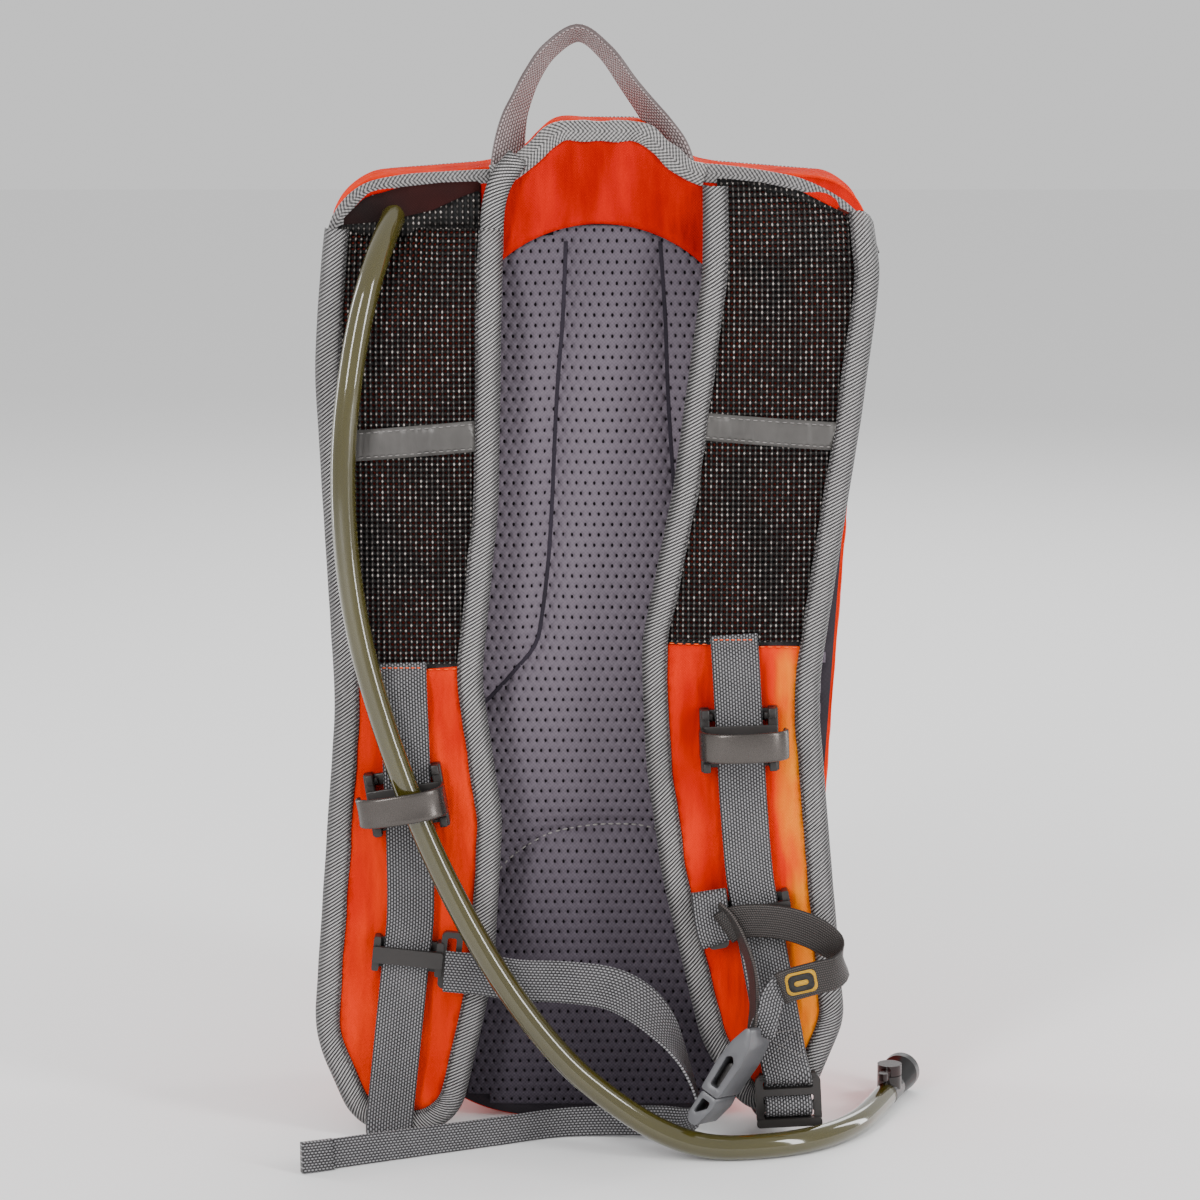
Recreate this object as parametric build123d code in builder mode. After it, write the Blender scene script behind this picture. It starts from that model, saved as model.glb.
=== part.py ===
from build123d import *
import math
import os

os.makedirs("parts", exist_ok=True)

# A slim hydration backpack standing on its base. Millimetres, +Z up, the harness faces -Y,
# the origin is the middle of the base at the harness side of the bag.

# Bag
BASE_DEPTH = 74.0           # harness side to outer side at the base
TOP_DEPTH = 46.0            # the same at the top
BAG_TOP = 431.0             # peak of the bag's top edge
WALL = 1.5                  # cloth and lining together
TAPER = math.degrees(math.atan((BASE_DEPTH - TOP_DEPTH) / BAG_TOP))
BAG_CORNERS = [
    (-90, 0), (90, 0), (95, 120), (102, 230), (114, 407), (38, 413), (18, BAG_TOP),
    (-18, BAG_TOP), (-38, 413), (-114, 407), (-102, 230), (-95, 120),
]
BAG_RADII = [64, 64, 150, 200, 24, 20, 10, 10, 20, 24, 200, 150]

# Back panel and yoke, stacked outwards from the rear wall
FOAM = 4.0
PANEL_MESH = 1.2
PANEL_INSET = 7.0
YOKE_RADIUS = 66.0          # the arc where the orange yoke meets the back panel
YOKE_CENTRE = 327.0
YOKE_CLOTH = 1.5
TAPE = 1.5

# Shoulder straps: a flat lower part, and a curved top that runs into the bag
BEND_Y = 30.0               # axis of the curve at the top of a strap
CORE_BACK = 56.5            # distances from that axis, back of the strap to its face
CORE_FRONT = 62.0
PANEL_FRONT = 63.2
BINDING_BACK = 55.8
BINDING_FRONT = 64.0
BINDING_WIDTH = 10.0
STRAP_END = -5.6            # the straps stop here, just in front of the back panel
LEFT_STRAP = [
    (-40, 440), (-43, 275), (-50.5, 200), (-42, 140), (-46, 72), (-62, 2), (-104, 2),
    (-122, 45), (-111, 190), (-118, 330), (-112, 440),
]
LEFT_STRAP_RADII = [0, 200, 80, 60, 120, 22, 24, 60, 200, 200, 0]
LEFT_BEND_Z = 331.0
LEFT_SEAM = (205.5, 2.0)    # height of the mesh to cloth seam in the middle, and its tilt
RIGHT_STRAP = [
    (44, 440), (43, 370), (31, 280), (18, 215), (20, 165), (27, 115), (44, 42), (62, 12),
    (88, 12), (104, 52), (91, 195), (108, 310), (116, 372), (110, 440),
]
RIGHT_STRAP_RADII = [0, 100, 150, 80, 150, 200, 60, 16, 18, 28, 160, 150, 40, 0]
RIGHT_BEND_Z = 348.0
RIGHT_SEAM = (216.0, -2.0)

# Webbing sewn down the straps; it stands off them where a slider runs behind it
WEB = 20.0
WEB_THICK = 1.6
WEB_BACK = -37.4
WEB_FRONT = WEB_BACK - WEB_THICK
STRAP_FACE = BEND_Y - PANEL_FRONT
LEFT_WEB = [(-83.0, 208), (-79.5, 108), (-90.5, 6)]
RIGHT_WEB = [(56.2, 220), (62.0, 124), (79.0, 33)]

# Hose clips
CLIP_WIDTH = 33.0
CLIP_HEIGHT = 27.0
CLIP_BACK = -33.9
CLIP_RAIL = 4.2
CLIP_THICK = 6.2
ARM_HEIGHT = 12.6
ARM_THICK = 1.8
ARM_REACH = 19.6            # inside of the arm, measured from the back of the clip
SLOT_CLEAR = 1.9

# Sternum sliders and the buckle
SLIDER_HEIGHT = 15.0
LOOP_HEIGHT = 25.0
LOOP_BAR = 2.6
BUCKLE_AT = (54.5, -57.5, 35.0)
BUCKLE_LEAN = 30.7          # the buckle's long axis leans this far from upright
BUCKLE_TURN = -25.0
BUCKLE_WIDTH = 26.0
BUCKLE_THICK = 8.6
BUCKLE_SPLIT = -8.0         # where the two halves meet along the axis
BUCKLE_HALF = 23.5          # half of the closed length

# Drinking hose: the points of its route from the port to the bite valve
HOSE = 10.5
HOSE_BORE = 6.4
HOSE_ROUTE = [
    (-86.0, -2.2, 394.0), (-92.5, -28.5, 378.5), (-101.0, -44.5, 345.0),
    (-107.5, -46.0, 292.0), (-103.5, -46.0, 232.0), (-89.0, -47.2, 177.5),
    (-69.5, -48.5, 126.0), (-45.0, -53.0, 79.5), (-17.0, -57.5, 42.5),
    (6.0, -59.5, 23.5), (26.0, -62.0, 11.3), (46.0, -64.0, 5.25),
    (70.0, -61.5, 5.25), (92.0, -51.5, 5.25), (109.0, -32.5, 5.25),
    (118.5, -11.0, 5.25), (125.0, 8.0, 5.25),
]

# The bag's outer face leans, so everything on it is drawn on this plane, u towards -X
OUTER = Plane(origin=(0, BASE_DEPTH, 0), x_dir=(-1, 0, 0), z_dir=(0, 1, 0)).rotated((TAPER, 0, 0))
ZIP_RADIUS = 86.0
ZIP_CENTRE = (0.0, 286.0)
ZIP_TAPE = 22.0
ZIP_COIL = 5.0
POCKET_WIDTH = 146.0
POCKET_LOW = 28.0
POCKET_HIGH = 178.0
POCKET_DEPTH = 15.0
FRONT_ZIP_V = 182.0
SHOCK_CORD = 3.0


def save(piece, name):
    """Name one finished piece and write it out."""
    piece.part.label = name
    export_step(piece.part, f"parts/{name}.step")


def outline_solid(corners, radii, near, far, inset=0.0, plane=Plane.XZ):
    """A closed outline with rounded corners, set in by inset, between two depths of its plane."""
    with BuildPart() as solid:
        with BuildSketch(plane.offset(near)):
            with BuildLine():
                FilletPolyline(*corners, radius=radii, close=True)
            make_face()
            if inset:
                offset(amount=-inset)
        extrude(amount=far - near)
    return solid.part


def band(points, radii, width, near, far, plane):
    """A strip of one width along a path in a plane, between two depths of that plane."""
    with BuildPart() as strip:
        with BuildSketch(plane.offset(near)):
            with BuildLine():
                if len(points) > 2:
                    FilletPolyline(*points, radius=radii)
                else:
                    Line(*points)
            trace(line_width=width)
        extrude(amount=far - near)
    return strip.part


def hose(points, outside, bore):
    """A tube of straight runs joined by arcs as large as the runs allow."""
    corners = [Vector(*p) for p in points]
    radii = []
    for before, here, after in zip(corners, corners[1:], corners[2:]):
        turn = math.radians((here - before).get_angle(after - here))
        shorter = min((here - before).length, (after - here).length)
        radii.append(0.45 * shorter / math.tan(turn / 2))
    with BuildPart() as tube:
        with BuildLine() as path:
            FilletPolyline(*points, radius=radii)
        with BuildSketch(Plane(origin=path.line @ 0, z_dir=path.line % 0)):
            Circle(outside / 2)
            if bore:
                Circle(bore / 2, mode=Mode.SUBTRACT)
        sweep()
    length = path.wire().length
    section = math.pi * (outside ** 2 - bore ** 2) / 4
    print("radii", [round(r) for r in radii], "length", round(length))
    print("volume against section times length", round(tube.part.volume / section / length, 4))
    return tube


# ---------------------------------------------------------------- the bag

def bag_block(inset, near):
    """The bag's outer form from a depth to the leaning outer face, all set in by inset."""
    with BuildPart() as block:
        add(outline_solid(BAG_CORNERS, BAG_RADII, -BASE_DEPTH - 10, -near, inset))
        split(bisect_by=OUTER.offset(-inset), keep=Keep.BOTTOM)
    return block.part


def make_bag():
    with BuildPart() as rear_wall:
        add(outline_solid(BAG_CORNERS, BAG_RADII, -WALL, 0))
        with BuildSketch(Plane.XZ.offset(5)):
            with Locations((-86, 394)):
                SlotOverall(30, 17)
        extrude(amount=-20, mode=Mode.SUBTRACT)
    save(rear_wall, "rear_wall")

    with BuildPart() as outer_wall:
        add(bag_block(0, WALL))
        split(bisect_by=OUTER.offset(-WALL), keep=Keep.TOP)
    save(outer_wall, "outer_wall")

    with BuildPart() as gusset:
        add(bag_block(0, WALL))
        split(bisect_by=OUTER.offset(-WALL), keep=Keep.BOTTOM)
        add(outline_solid(BAG_CORNERS, BAG_RADII, -BASE_DEPTH - 10, 10, WALL), mode=Mode.SUBTRACT)
    save(gusset, "gusset")

    with BuildPart() as outer_piping:
        add(outline_solid(BAG_CORNERS, BAG_RADII, 0, 2.2, 0.6, OUTER))
        add(outline_solid(BAG_CORNERS, BAG_RADII, -1, 4, 3.2, OUTER), mode=Mode.SUBTRACT)
    save(outer_piping, "outer_piping")


# ---------------------------------------------------------------- inside the bag

BLADDER_LOW = 80.0
BLADDER_HIGH = 345.0
BLADDER_X = (-70.0, 82.0)
BLADDER_Y = (4.0, 32.0)
CAP_AT = (6.0, 292.0)
TUBE_X = -79.5
TUBE_Y = 15.7


def make_reservoir():
    width = BLADDER_X[1] - BLADDER_X[0]
    depth = BLADDER_Y[1] - BLADDER_Y[0]
    middle = sum(BLADDER_X) / 2
    with BuildPart() as reservoir_bladder:
        with BuildSketch(Plane.XZ.offset(-BLADDER_Y[0])):
            with Locations((middle, (BLADDER_LOW + BLADDER_HIGH) / 2)):
                RectangleRounded(width, BLADDER_HIGH - BLADDER_LOW, 26)
        extrude(amount=-depth)
        fillet(reservoir_bladder.edges().filter_by(Plane.XZ), 9)
        offset(amount=-1.2, mode=Mode.SUBTRACT)
        with BuildSketch(Plane.XZ.offset(-BLADDER_Y[1] - 1)):
            with Locations(CAP_AT):
                Circle(26)
        extrude(amount=8, mode=Mode.SUBTRACT)
    save(reservoir_bladder, "reservoir_bladder")

    with BuildPart() as filler_ring:
        with BuildSketch(Plane.XZ.offset(-BLADDER_Y[1])):
            with Locations(CAP_AT):
                Circle(31)
                Circle(26, mode=Mode.SUBTRACT)
        extrude(amount=-6)
    save(filler_ring, "filler_ring")

    with BuildPart() as filler_cap:
        with BuildSketch(Plane.XZ.offset(-BLADDER_Y[1] - 6.3)):
            with Locations(CAP_AT):
                Circle(33)
        extrude(amount=-4)
        with BuildSketch(Plane.XZ.offset(-BLADDER_Y[1] - 10.3)):
            with Locations(CAP_AT):
                Rectangle(52, 7)
        extrude(amount=-5)
    save(filler_cap, "filler_cap")

    with BuildPart() as outlet_fitting:
        with BuildSketch(Plane.XY.offset(BLADDER_LOW)):
            with Locations((-40, TUBE_Y)):
                Circle(7)
                Circle(2.5, mode=Mode.SUBTRACT)
        extrude(amount=-14)
    save(outlet_fitting, "outlet_fitting")

    inner = [(-40, TUBE_Y, 66), (-40, TUBE_Y, 34), (TUBE_X, TUBE_Y, 34), (TUBE_X, TUBE_Y, 362)]
    with BuildPart() as inner_tube:
        with BuildLine() as path:
            FilletPolyline(*inner, radius=19)
        with BuildSketch(Plane(origin=path.line @ 0, z_dir=path.line % 0)):
            Circle(HOSE / 2)
            Circle(HOSE_BORE / 2, mode=Mode.SUBTRACT)
        sweep()
    save(inner_tube, "inner_tube")

    with BuildPart() as reservoir_hanger:
        with Locations((middle, 20, BLADDER_HIGH + 6)):
            Box(110, 6, 12)
        with Locations((middle, 20, BLADDER_HIGH + 34)):
            Box(14, 1.6, 44)
        with Locations((middle, 11, BLADDER_HIGH + 55.2)):
            Box(14, 18.9, 1.6)
    save(reservoir_hanger, "reservoir_hanger")

    with BuildPart() as reservoir_sleeve:
        add(outline_solid(BAG_CORNERS, BAG_RADII, -41.5, -40, WALL + 0.2))
        split(bisect_by=Plane.XY.offset(236), keep=Keep.BOTTOM)
    save(reservoir_sleeve, "reservoir_sleeve")


def make_port_elbow():
    end = Vector(*HOSE_ROUTE[0])
    way = (Vector(*HOSE_ROUTE[1]) - end).normalized()
    turn = end - way * 12
    rise = Vector(TUBE_X, TUBE_Y, turn.Z - 4.5)
    with BuildPart() as port_elbow:
        with BuildLine() as path:
            FilletPolyline((TUBE_X, TUBE_Y, 362), rise, turn, end, radius=7)
        with BuildSketch(Plane(origin=path.line @ 0, z_dir=path.line % 0)):
            Circle(4.7)
            Circle(3.0, mode=Mode.SUBTRACT)
        sweep()
    save(port_elbow, "port_elbow")


# ---------------------------------------------------------------- back panel, yoke, handle

def yoke_cut():
    """Everything at or above the yoke's arc."""
    with BuildPart() as cut:
        with BuildSketch(Plane.XZ.offset(-5)):
            with Locations((0, YOKE_CENTRE)):
                Rectangle(300, 200, align=(Align.CENTER, Align.MIN))
                Circle(YOKE_RADIUS, mode=Mode.SUBTRACT)
        extrude(amount=20)
    return cut.part


def make_back():
    layers = [("back_panel_foam", 0, FOAM), ("back_panel_mesh", FOAM, FOAM + PANEL_MESH)]
    for name, near, far in layers:
        with BuildPart() as panel:
            add(outline_solid(BAG_CORNERS, BAG_RADII, near, far, PANEL_INSET))
            add(yoke_cut(), mode=Mode.SUBTRACT)
        save(panel, name)

    with BuildPart() as yoke_panel:
        add(outline_solid(BAG_CORNERS, BAG_RADII, 0, YOKE_CLOTH, 0.5))
        add(yoke_cut(), mode=Mode.INTERSECT)
        with BuildSketch(Plane.XZ.offset(5)):
            with Locations((-86, 394)):
                SlotOverall(30, 17)
        extrude(amount=-20, mode=Mode.SUBTRACT)
    save(yoke_panel, "yoke_panel")

    with BuildPart() as top_edge_binding:
        add(outline_solid(BAG_CORNERS, BAG_RADII, YOKE_CLOTH, YOKE_CLOTH + 2))
        add(outline_solid(BAG_CORNERS, BAG_RADII, 0, 8, 7), mode=Mode.SUBTRACT)
        with BuildSketch(Plane.XZ):
            with Locations((1, 380)):
                Rectangle(84, 80, align=(Align.CENTER, Align.MIN))
        extrude(amount=10, mode=Mode.INTERSECT)
    save(top_edge_binding, "top_edge_binding")

    left_path = [(-46, 408.5), (-84, 407), (-104, 402), (-111, 388)]
    right_path = [(50, 409), (84, 404), (101, 396), (112, 384)]
    with BuildPart() as yoke_tapes:
        add(band(left_path, [60, 14], 6, YOKE_CLOTH, YOKE_CLOTH + TAPE, Plane.XZ))
        add(band(right_path, [60, 30], 8, YOKE_CLOTH, YOKE_CLOTH + TAPE, Plane.XZ))
    save(yoke_tapes, "yoke_tapes")


HANDLE_PATH = [
    (-39, 408), (-36, 433), (-29, 455), (-9, 477), (12, 454), (27.5, 432), (33, 412),
]
HANDLE_Y = (2.0, 16.0)
HANDLE_PIVOT = (9.0, 433.0)
HANDLE_DRUM = 7.0           # the handle's web ends in this radius about the pivot
HANDLE_CUT = 8.2            # and the sewn-down ends stay out of this one


def handle_band():
    with BuildPart() as loop:
        add(band(HANDLE_PATH, [60, 60, 9, 60, 60], 2.0, -HANDLE_Y[1], -HANDLE_Y[0], Plane.XZ))
    return loop.part


def pivot_drum(radius):
    """A drum about the handle's folding axis."""
    with BuildPart() as drum:
        with BuildSketch(Plane.YZ):
            with Locations(HANDLE_PIVOT):
                Circle(radius)
        extrude(amount=80, both=True)
    return drum.part


def make_handle():
    with BuildPart() as handle_anchors:
        add(handle_band())
        split(bisect_by=Plane.XY.offset(HANDLE_PIVOT[1]), keep=Keep.BOTTOM)
        add(pivot_drum(HANDLE_CUT), mode=Mode.SUBTRACT)
        add(bag_block(0, 0), mode=Mode.SUBTRACT)
    save(handle_anchors, "handle_anchors")

    with BuildPart() as low:
        add(handle_band())
        add(pivot_drum(HANDLE_DRUM), mode=Mode.INTERSECT)
    with BuildPart() as grab_handle:
        add(handle_band())
        split(bisect_by=Plane.XY.offset(HANDLE_PIVOT[1]), keep=Keep.TOP)
        add(low.part)
    save(grab_handle, "grab_handle")


# ---------------------------------------------------------------- shoulder straps

def strap_layer(corners, radii, bend_z, back, front, inset, ring=0.0):
    """One layer of a strap: a bent sheet between two distances from the bend's axis."""
    front_turn = math.acos((BEND_Y - STRAP_END) / front)
    back_turn = math.acos((BEND_Y - STRAP_END) / back)
    centre = Vector(BEND_Y, bend_z)

    def on_arc(radius, angle):
        return centre + Vector(-radius * math.cos(angle), radius * math.sin(angle))

    with BuildPart() as layer:
        with BuildSketch(Plane.YZ):
            with BuildLine():
                Line((BEND_Y - front, 0), (BEND_Y - front, bend_z))
                ThreePointArc(on_arc(front, 0), on_arc(front, front_turn / 2),
                              on_arc(front, front_turn))
                Line(on_arc(front, front_turn), on_arc(back, back_turn))
                ThreePointArc(on_arc(back, back_turn), on_arc(back, back_turn / 2),
                              on_arc(back, 0))
                Line((BEND_Y - back, bend_z), (BEND_Y - back, 0))
                Line((BEND_Y - back, 0), (BEND_Y - front, 0))
            make_face()
        extrude(amount=150, both=True)
        add(outline_solid(corners, radii, 0, 60, inset), mode=Mode.INTERSECT)
        if ring:
            add(outline_solid(corners, radii, 0, 60, inset + ring), mode=Mode.SUBTRACT)
    return layer.part


def seam_block(middle, height, tilt, above):
    """A block on one side of a slightly tilted line across a strap."""
    side = Align.MIN if above else Align.MAX
    with BuildPart() as block:
        with BuildSketch(Plane.XZ):
            with Locations(Location((middle, height), tilt)):
                Rectangle(120, 300, align=(Align.CENTER, side))
        extrude(amount=80)
    return block.part


def make_strap(side, corners, radii, bend_z, seam, web_path, reflector):
    middle = sum(x for x, z in web_path) / len(web_path)
    with BuildPart() as core:
        add(strap_layer(corners, radii, bend_z, CORE_BACK, CORE_FRONT, 1.0))
    save(core, f"{side}_strap_core")

    face = strap_layer(corners, radii, bend_z, CORE_FRONT, PANEL_FRONT, BINDING_WIDTH)
    with BuildPart() as mesh:
        add(face)
        add(seam_block(middle, seam[0], seam[1], True), mode=Mode.INTERSECT)
    save(mesh, f"{side}_strap_mesh")
    with BuildPart() as cloth:
        add(face)
        add(seam_block(middle, seam[0], seam[1], False), mode=Mode.INTERSECT)
    save(cloth, f"{side}_strap_cloth")

    with BuildPart() as binding:
        add(strap_layer(corners, radii, bend_z, BINDING_BACK, BINDING_FRONT, 0, BINDING_WIDTH))
        add(strap_layer(corners, radii, bend_z, CORE_BACK, CORE_FRONT, 1.0), mode=Mode.SUBTRACT)
    save(binding, f"{side}_strap_binding")

    with BuildPart() as strip:
        with BuildSketch(Plane.XZ.offset(-STRAP_FACE)):
            with BuildLine():
                Polyline(*reflector, close=True)
            make_face()
        extrude(amount=0.6)
        add(outline_solid(corners, radii, 0, 60, BINDING_WIDTH), mode=Mode.INTERSECT)
    save(strip, f"{side}_strap_reflector")

    low = web_path[-1]
    tack = web_path[1]
    top = web_path[0]
    with BuildPart() as webbing:
        add(band(web_path, [90], WEB, -WEB_BACK, -WEB_FRONT, Plane.XZ))
        with BuildSketch(Plane.XZ.offset(-STRAP_FACE)):
            with Locations((top[0], top[1] - 4), (tack[0], tack[1]), (low[0], low[1] + 12)):
                Rectangle(WEB - 2, 5)
        extrude(amount=STRAP_FACE - WEB_BACK)
    save(webbing, f"{side}_strap_webbing")


# ---------------------------------------------------------------- hose clips and sliders

def tilted(x, y, z, tilt):
    """A plane facing the harness side, its up direction tilted in the plane of the strap."""
    return Plane(origin=(x, y, z), x_dir=(1, 0, 0), z_dir=(0, -1, 0)).rotated((0, -tilt, 0))


def web_angle(path, index):
    """How far a stretch of the webbing leans from upright, in degrees."""
    (x0, z0), (x1, z1) = path[index], path[index + 1]
    return math.degrees(math.atan2(x1 - x0, z0 - z1))


def make_clip(name, at, tilt, hinge_side):
    """An H frame that the webbing threads, with a sprung arm over the hose."""
    plane = tilted(at[0], CLIP_BACK, at[1], tilt)
    rail = (CLIP_WIDTH - CLIP_RAIL) / 2
    bar_height = 5.0
    with BuildPart() as clip:
        with BuildSketch(plane):
            with Locations((-rail, 0), (rail, 0)):
                RectangleRounded(CLIP_RAIL, CLIP_HEIGHT, 1.6)
        extrude(amount=CLIP_THICK)
        with BuildSketch(plane):
            lift = (CLIP_HEIGHT - bar_height) / 2 - 1
            with Locations((0, -lift), (0, lift)):
                Rectangle(CLIP_WIDTH - 4, bar_height)
        extrude(amount=2.0)
        with BuildSketch(plane.offset(CLIP_THICK)):
            RectangleRounded(CLIP_WIDTH, ARM_HEIGHT, 1.5)
        extrude(amount=1.7)
        arm_plane = Plane(origin=plane.origin - plane.y_dir * (ARM_HEIGHT / 2),
                          x_dir=plane.x_dir, z_dir=-plane.y_dir)
        edge = hinge_side * (CLIP_WIDTH / 2 - ARM_THICK / 2)
        out = ARM_REACH + ARM_THICK / 2
        with BuildSketch(arm_plane):
            with BuildLine():
                FilletPolyline((edge, CLIP_THICK + 1), (edge, out), (-edge * 1.0, out),
                               (-edge * 1.16, out - 3.4), radius=[4, 3])
            trace(line_width=ARM_THICK)
        extrude(amount=-ARM_HEIGHT)
    save(clip, name)


def make_slider(name, at, tilt, loop_side):
    """A slider on the webbing, with a loop at its side for the sternum web."""
    plane = tilted(at[0], CLIP_BACK, at[1], tilt)
    width = WEB + 2 * SLOT_CLEAR + 6
    rail = (width - 3) / 2
    loop_x = loop_side * (width / 2 + 3.2)
    with BuildPart() as slider:
        with BuildSketch(plane):
            with Locations((-rail, 0), (rail, 0)):
                RectangleRounded(3, SLIDER_HEIGHT, 1)
        extrude(amount=6.6)
        with BuildSketch(plane):
            with Locations((0, -4.5), (0, 4.5)):
                Rectangle(width - 2, 4)
        extrude(amount=2.0)
        with BuildSketch(plane.offset(5.2 + 0.9)):
            RectangleRounded(width, 7, 1)
        extrude(amount=2.2)
        with BuildSketch(plane.offset(2.4)):
            with Locations((loop_x, 0)):
                RectangleRounded(9, LOOP_HEIGHT, 2.5)
                RectangleRounded(9 - 2 * LOOP_BAR, LOOP_HEIGHT - 2 * LOOP_BAR, 0.9,
                                 mode=Mode.SUBTRACT)
        extrude(amount=3.2)
    save(slider, name)


LEFT_SLIDER = (-81.6, 82.0)
RIGHT_SLIDER = (66.3, 101.0)


def make_sternum_webs():
    top = [(-62.5, 86), (-24, 84), (2, 81), (19, 75), (31, 61), (38.0, 46), (40.5, 33)]
    low = [(36.0, 30), (32, 38), (23, 49), (10, 57.6), (-8, 61.6), (-26, 62), (-62.5, 66)]
    with BuildPart() as left_sternum_web:
        with BuildSketch(Plane.XZ.offset(42.0)):
            with BuildLine():
                Spline(*top)
                Line(top[-1], low[0])
                Spline(*low)
                Line(low[-1], top[0])
            make_face()
        extrude(amount=1.6)
    save(left_sternum_web, "left_sternum_web")

    plan = [(52, -44.4), (101, -44.4), (101, -57.5), (64, -57.5)]
    with BuildPart() as right_sternum_web:
        add(band(plan, [5, 5], WEB_THICK, 68, 86, Plane.XY))
        with BuildSketch(Plane.XZ.offset(43.6)):
            with BuildLine():
                Polyline((50, 68), (58, 68), (58, 90), (52, 112), (43, 112), (44, 92), close=True)
            make_face()
        extrude(amount=WEB_THICK)
        with BuildSketch(Plane.XZ.offset(56.7)):
            with Locations((68.5, 63.5)):
                Rectangle(9, 10)
        extrude(amount=WEB_THICK)
    save(right_sternum_web, "right_sternum_web")

    plan = [(38, -50), (14, -31), (-16, -30), (-42, -44), (-92, -66), (-122, -80)]
    with BuildPart() as strap_tail:
        add(band(plan, [18, 40, 60, 90], WEB_THICK, 0, 13, Plane.XY))
    save(strap_tail, "strap_tail")


def buckle_plane():
    """The buckle's own frame: x across it, y along it towards the female end, z out of its face."""
    lean = math.radians(BUCKLE_LEAN)
    turn = math.radians(BUCKLE_TURN)
    across = Vector(0, 1, 0)
    face = Vector(math.cos(lean), 0, -math.sin(lean))
    return Plane(
        origin=BUCKLE_AT,
        x_dir=across * math.cos(turn) - face * math.sin(turn),
        z_dir=face * math.cos(turn) + across * math.sin(turn),
    )


BUCKLE = buckle_plane()


def buckle_block(x_size, y_low, y_high, thick, radius):
    """A rounded block in the buckle's own frame, centred on its thickness."""
    with BuildPart() as block:
        with BuildSketch(BUCKLE.offset(-thick / 2)):
            with Locations((0, (y_low + y_high) / 2)):
                RectangleRounded(x_size, y_high - y_low, radius)
        extrude(amount=thick)
    return block.part


def make_buckle():
    cavity_wide = 21.0
    cavity_deep = 5.4
    with BuildPart() as female_buckle:
        add(buckle_block(BUCKLE_WIDTH, BUCKLE_SPLIT, BUCKLE_HALF, BUCKLE_THICK, 3.5))
        with BuildSketch(BUCKLE.offset(-cavity_deep / 2)):
            with Locations((0, BUCKLE_SPLIT - 1)):
                Rectangle(cavity_wide, 23, align=(Align.CENTER, Align.MIN))
        extrude(amount=cavity_deep, mode=Mode.SUBTRACT)
        with BuildSketch(BUCKLE.offset(-10)):
            with Locations((0, BUCKLE_HALF - 5.6)):
                RectangleRounded(WEB + 0.6, 4.4, 1)
        extrude(amount=20, mode=Mode.SUBTRACT)
        side = Plane(origin=BUCKLE.origin, x_dir=BUCKLE.y_dir, z_dir=BUCKLE.x_dir)
        with BuildSketch(side.offset(-20)):
            with Locations((3.4, 0)):
                RectangleRounded(13, 4.8, 1.5)
        extrude(amount=40, mode=Mode.SUBTRACT)
    save(female_buckle, "female_buckle")

    gap = 0.35
    with BuildPart() as male_buckle:
        add(buckle_block(BUCKLE_WIDTH - 1, -BUCKLE_HALF, BUCKLE_SPLIT - gap, BUCKLE_THICK - 1, 3))
        for slot in (-19.4, -14.4):
            with BuildSketch(BUCKLE.offset(-10)):
                with Locations((0, slot)):
                    RectangleRounded(WEB + 0.4, 2.8, 1)
            extrude(amount=20, mode=Mode.SUBTRACT)
        thick = cavity_deep - 4 * gap
        with BuildSketch(BUCKLE.offset(-thick / 2)):
            with Locations((0, BUCKLE_SPLIT - 1.5)):
                Rectangle(4.4, 18, align=(Align.CENTER, Align.MIN))
            for hand in (-1, 1):
                with Locations((hand * 8.0, BUCKLE_SPLIT - 1.5)):
                    Rectangle(3.2, 19, align=(Align.CENTER, Align.MIN))
                with Locations((hand * 8.3, 4.0)):
                    RectangleRounded(3.2, 11, 1.4)
        extrude(amount=thick)
    save(male_buckle, "male_buckle")


# ---------------------------------------------------------------- ladder locks

LOCK_THICK = 3.4
LOCK_BAR = 3.8              # round top bar, which the strap webbing holds and the lock tilts on
LOCK_BAR_UP = 10.0          # height of that bar above the lock's middle


def lock_bar_plane(plane):
    """A plane across the lock's round top bar."""
    middle = plane.from_local_coords(Vector(0, LOCK_BAR_UP, LOCK_THICK / 2))
    return Plane(origin=middle, x_dir=plane.y_dir, z_dir=plane.x_dir)


def make_ladder_lock(side, plane):
    """A ladder lock: a top loop for the strap webbing, two bars for the adjuster web."""
    with BuildPart() as lock:
        with BuildSketch(plane):
            RectangleRounded(28, 23, 4)
            with Locations((0, 6.8), (0, 0.2), (0, -6.4)):
                RectangleRounded(21.4, 3.6, 1, mode=Mode.SUBTRACT)
        extrude(amount=LOCK_THICK)
        with BuildSketch(lock_bar_plane(plane)):
            Circle(LOCK_BAR / 2)
        extrude(amount=12, both=True)
        with BuildSketch(plane.offset(LOCK_THICK)):
            with Locations((0, -9.6)):
                RectangleRounded(28, 3.6, 1.6)
        extrude(amount=2.0)
    save(lock, f"{side}_ladder_lock")


RIGHT_LOCK = tilted(80.5, -37.6, 19.2, 3.0)
LEFT_LOCK = tilted(-84.0, -20.0, 17.0, 0.0)


def make_adjusters():
    """Webs from the bag's lower corners to the ladder locks."""
    with BuildPart() as left_adjuster_web:
        with Locations((-76, -12.4, 26)):
            Box(WEB, 14, WEB_THICK)
    save(left_adjuster_web, "left_adjuster_web")
    with BuildPart() as right_adjuster_web:
        with Locations((74, -18.2, 9.4)):
            Box(WEB, 36, WEB_THICK)
    save(right_adjuster_web, "right_adjuster_web")


# ---------------------------------------------------------------- hose and bite valve

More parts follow.
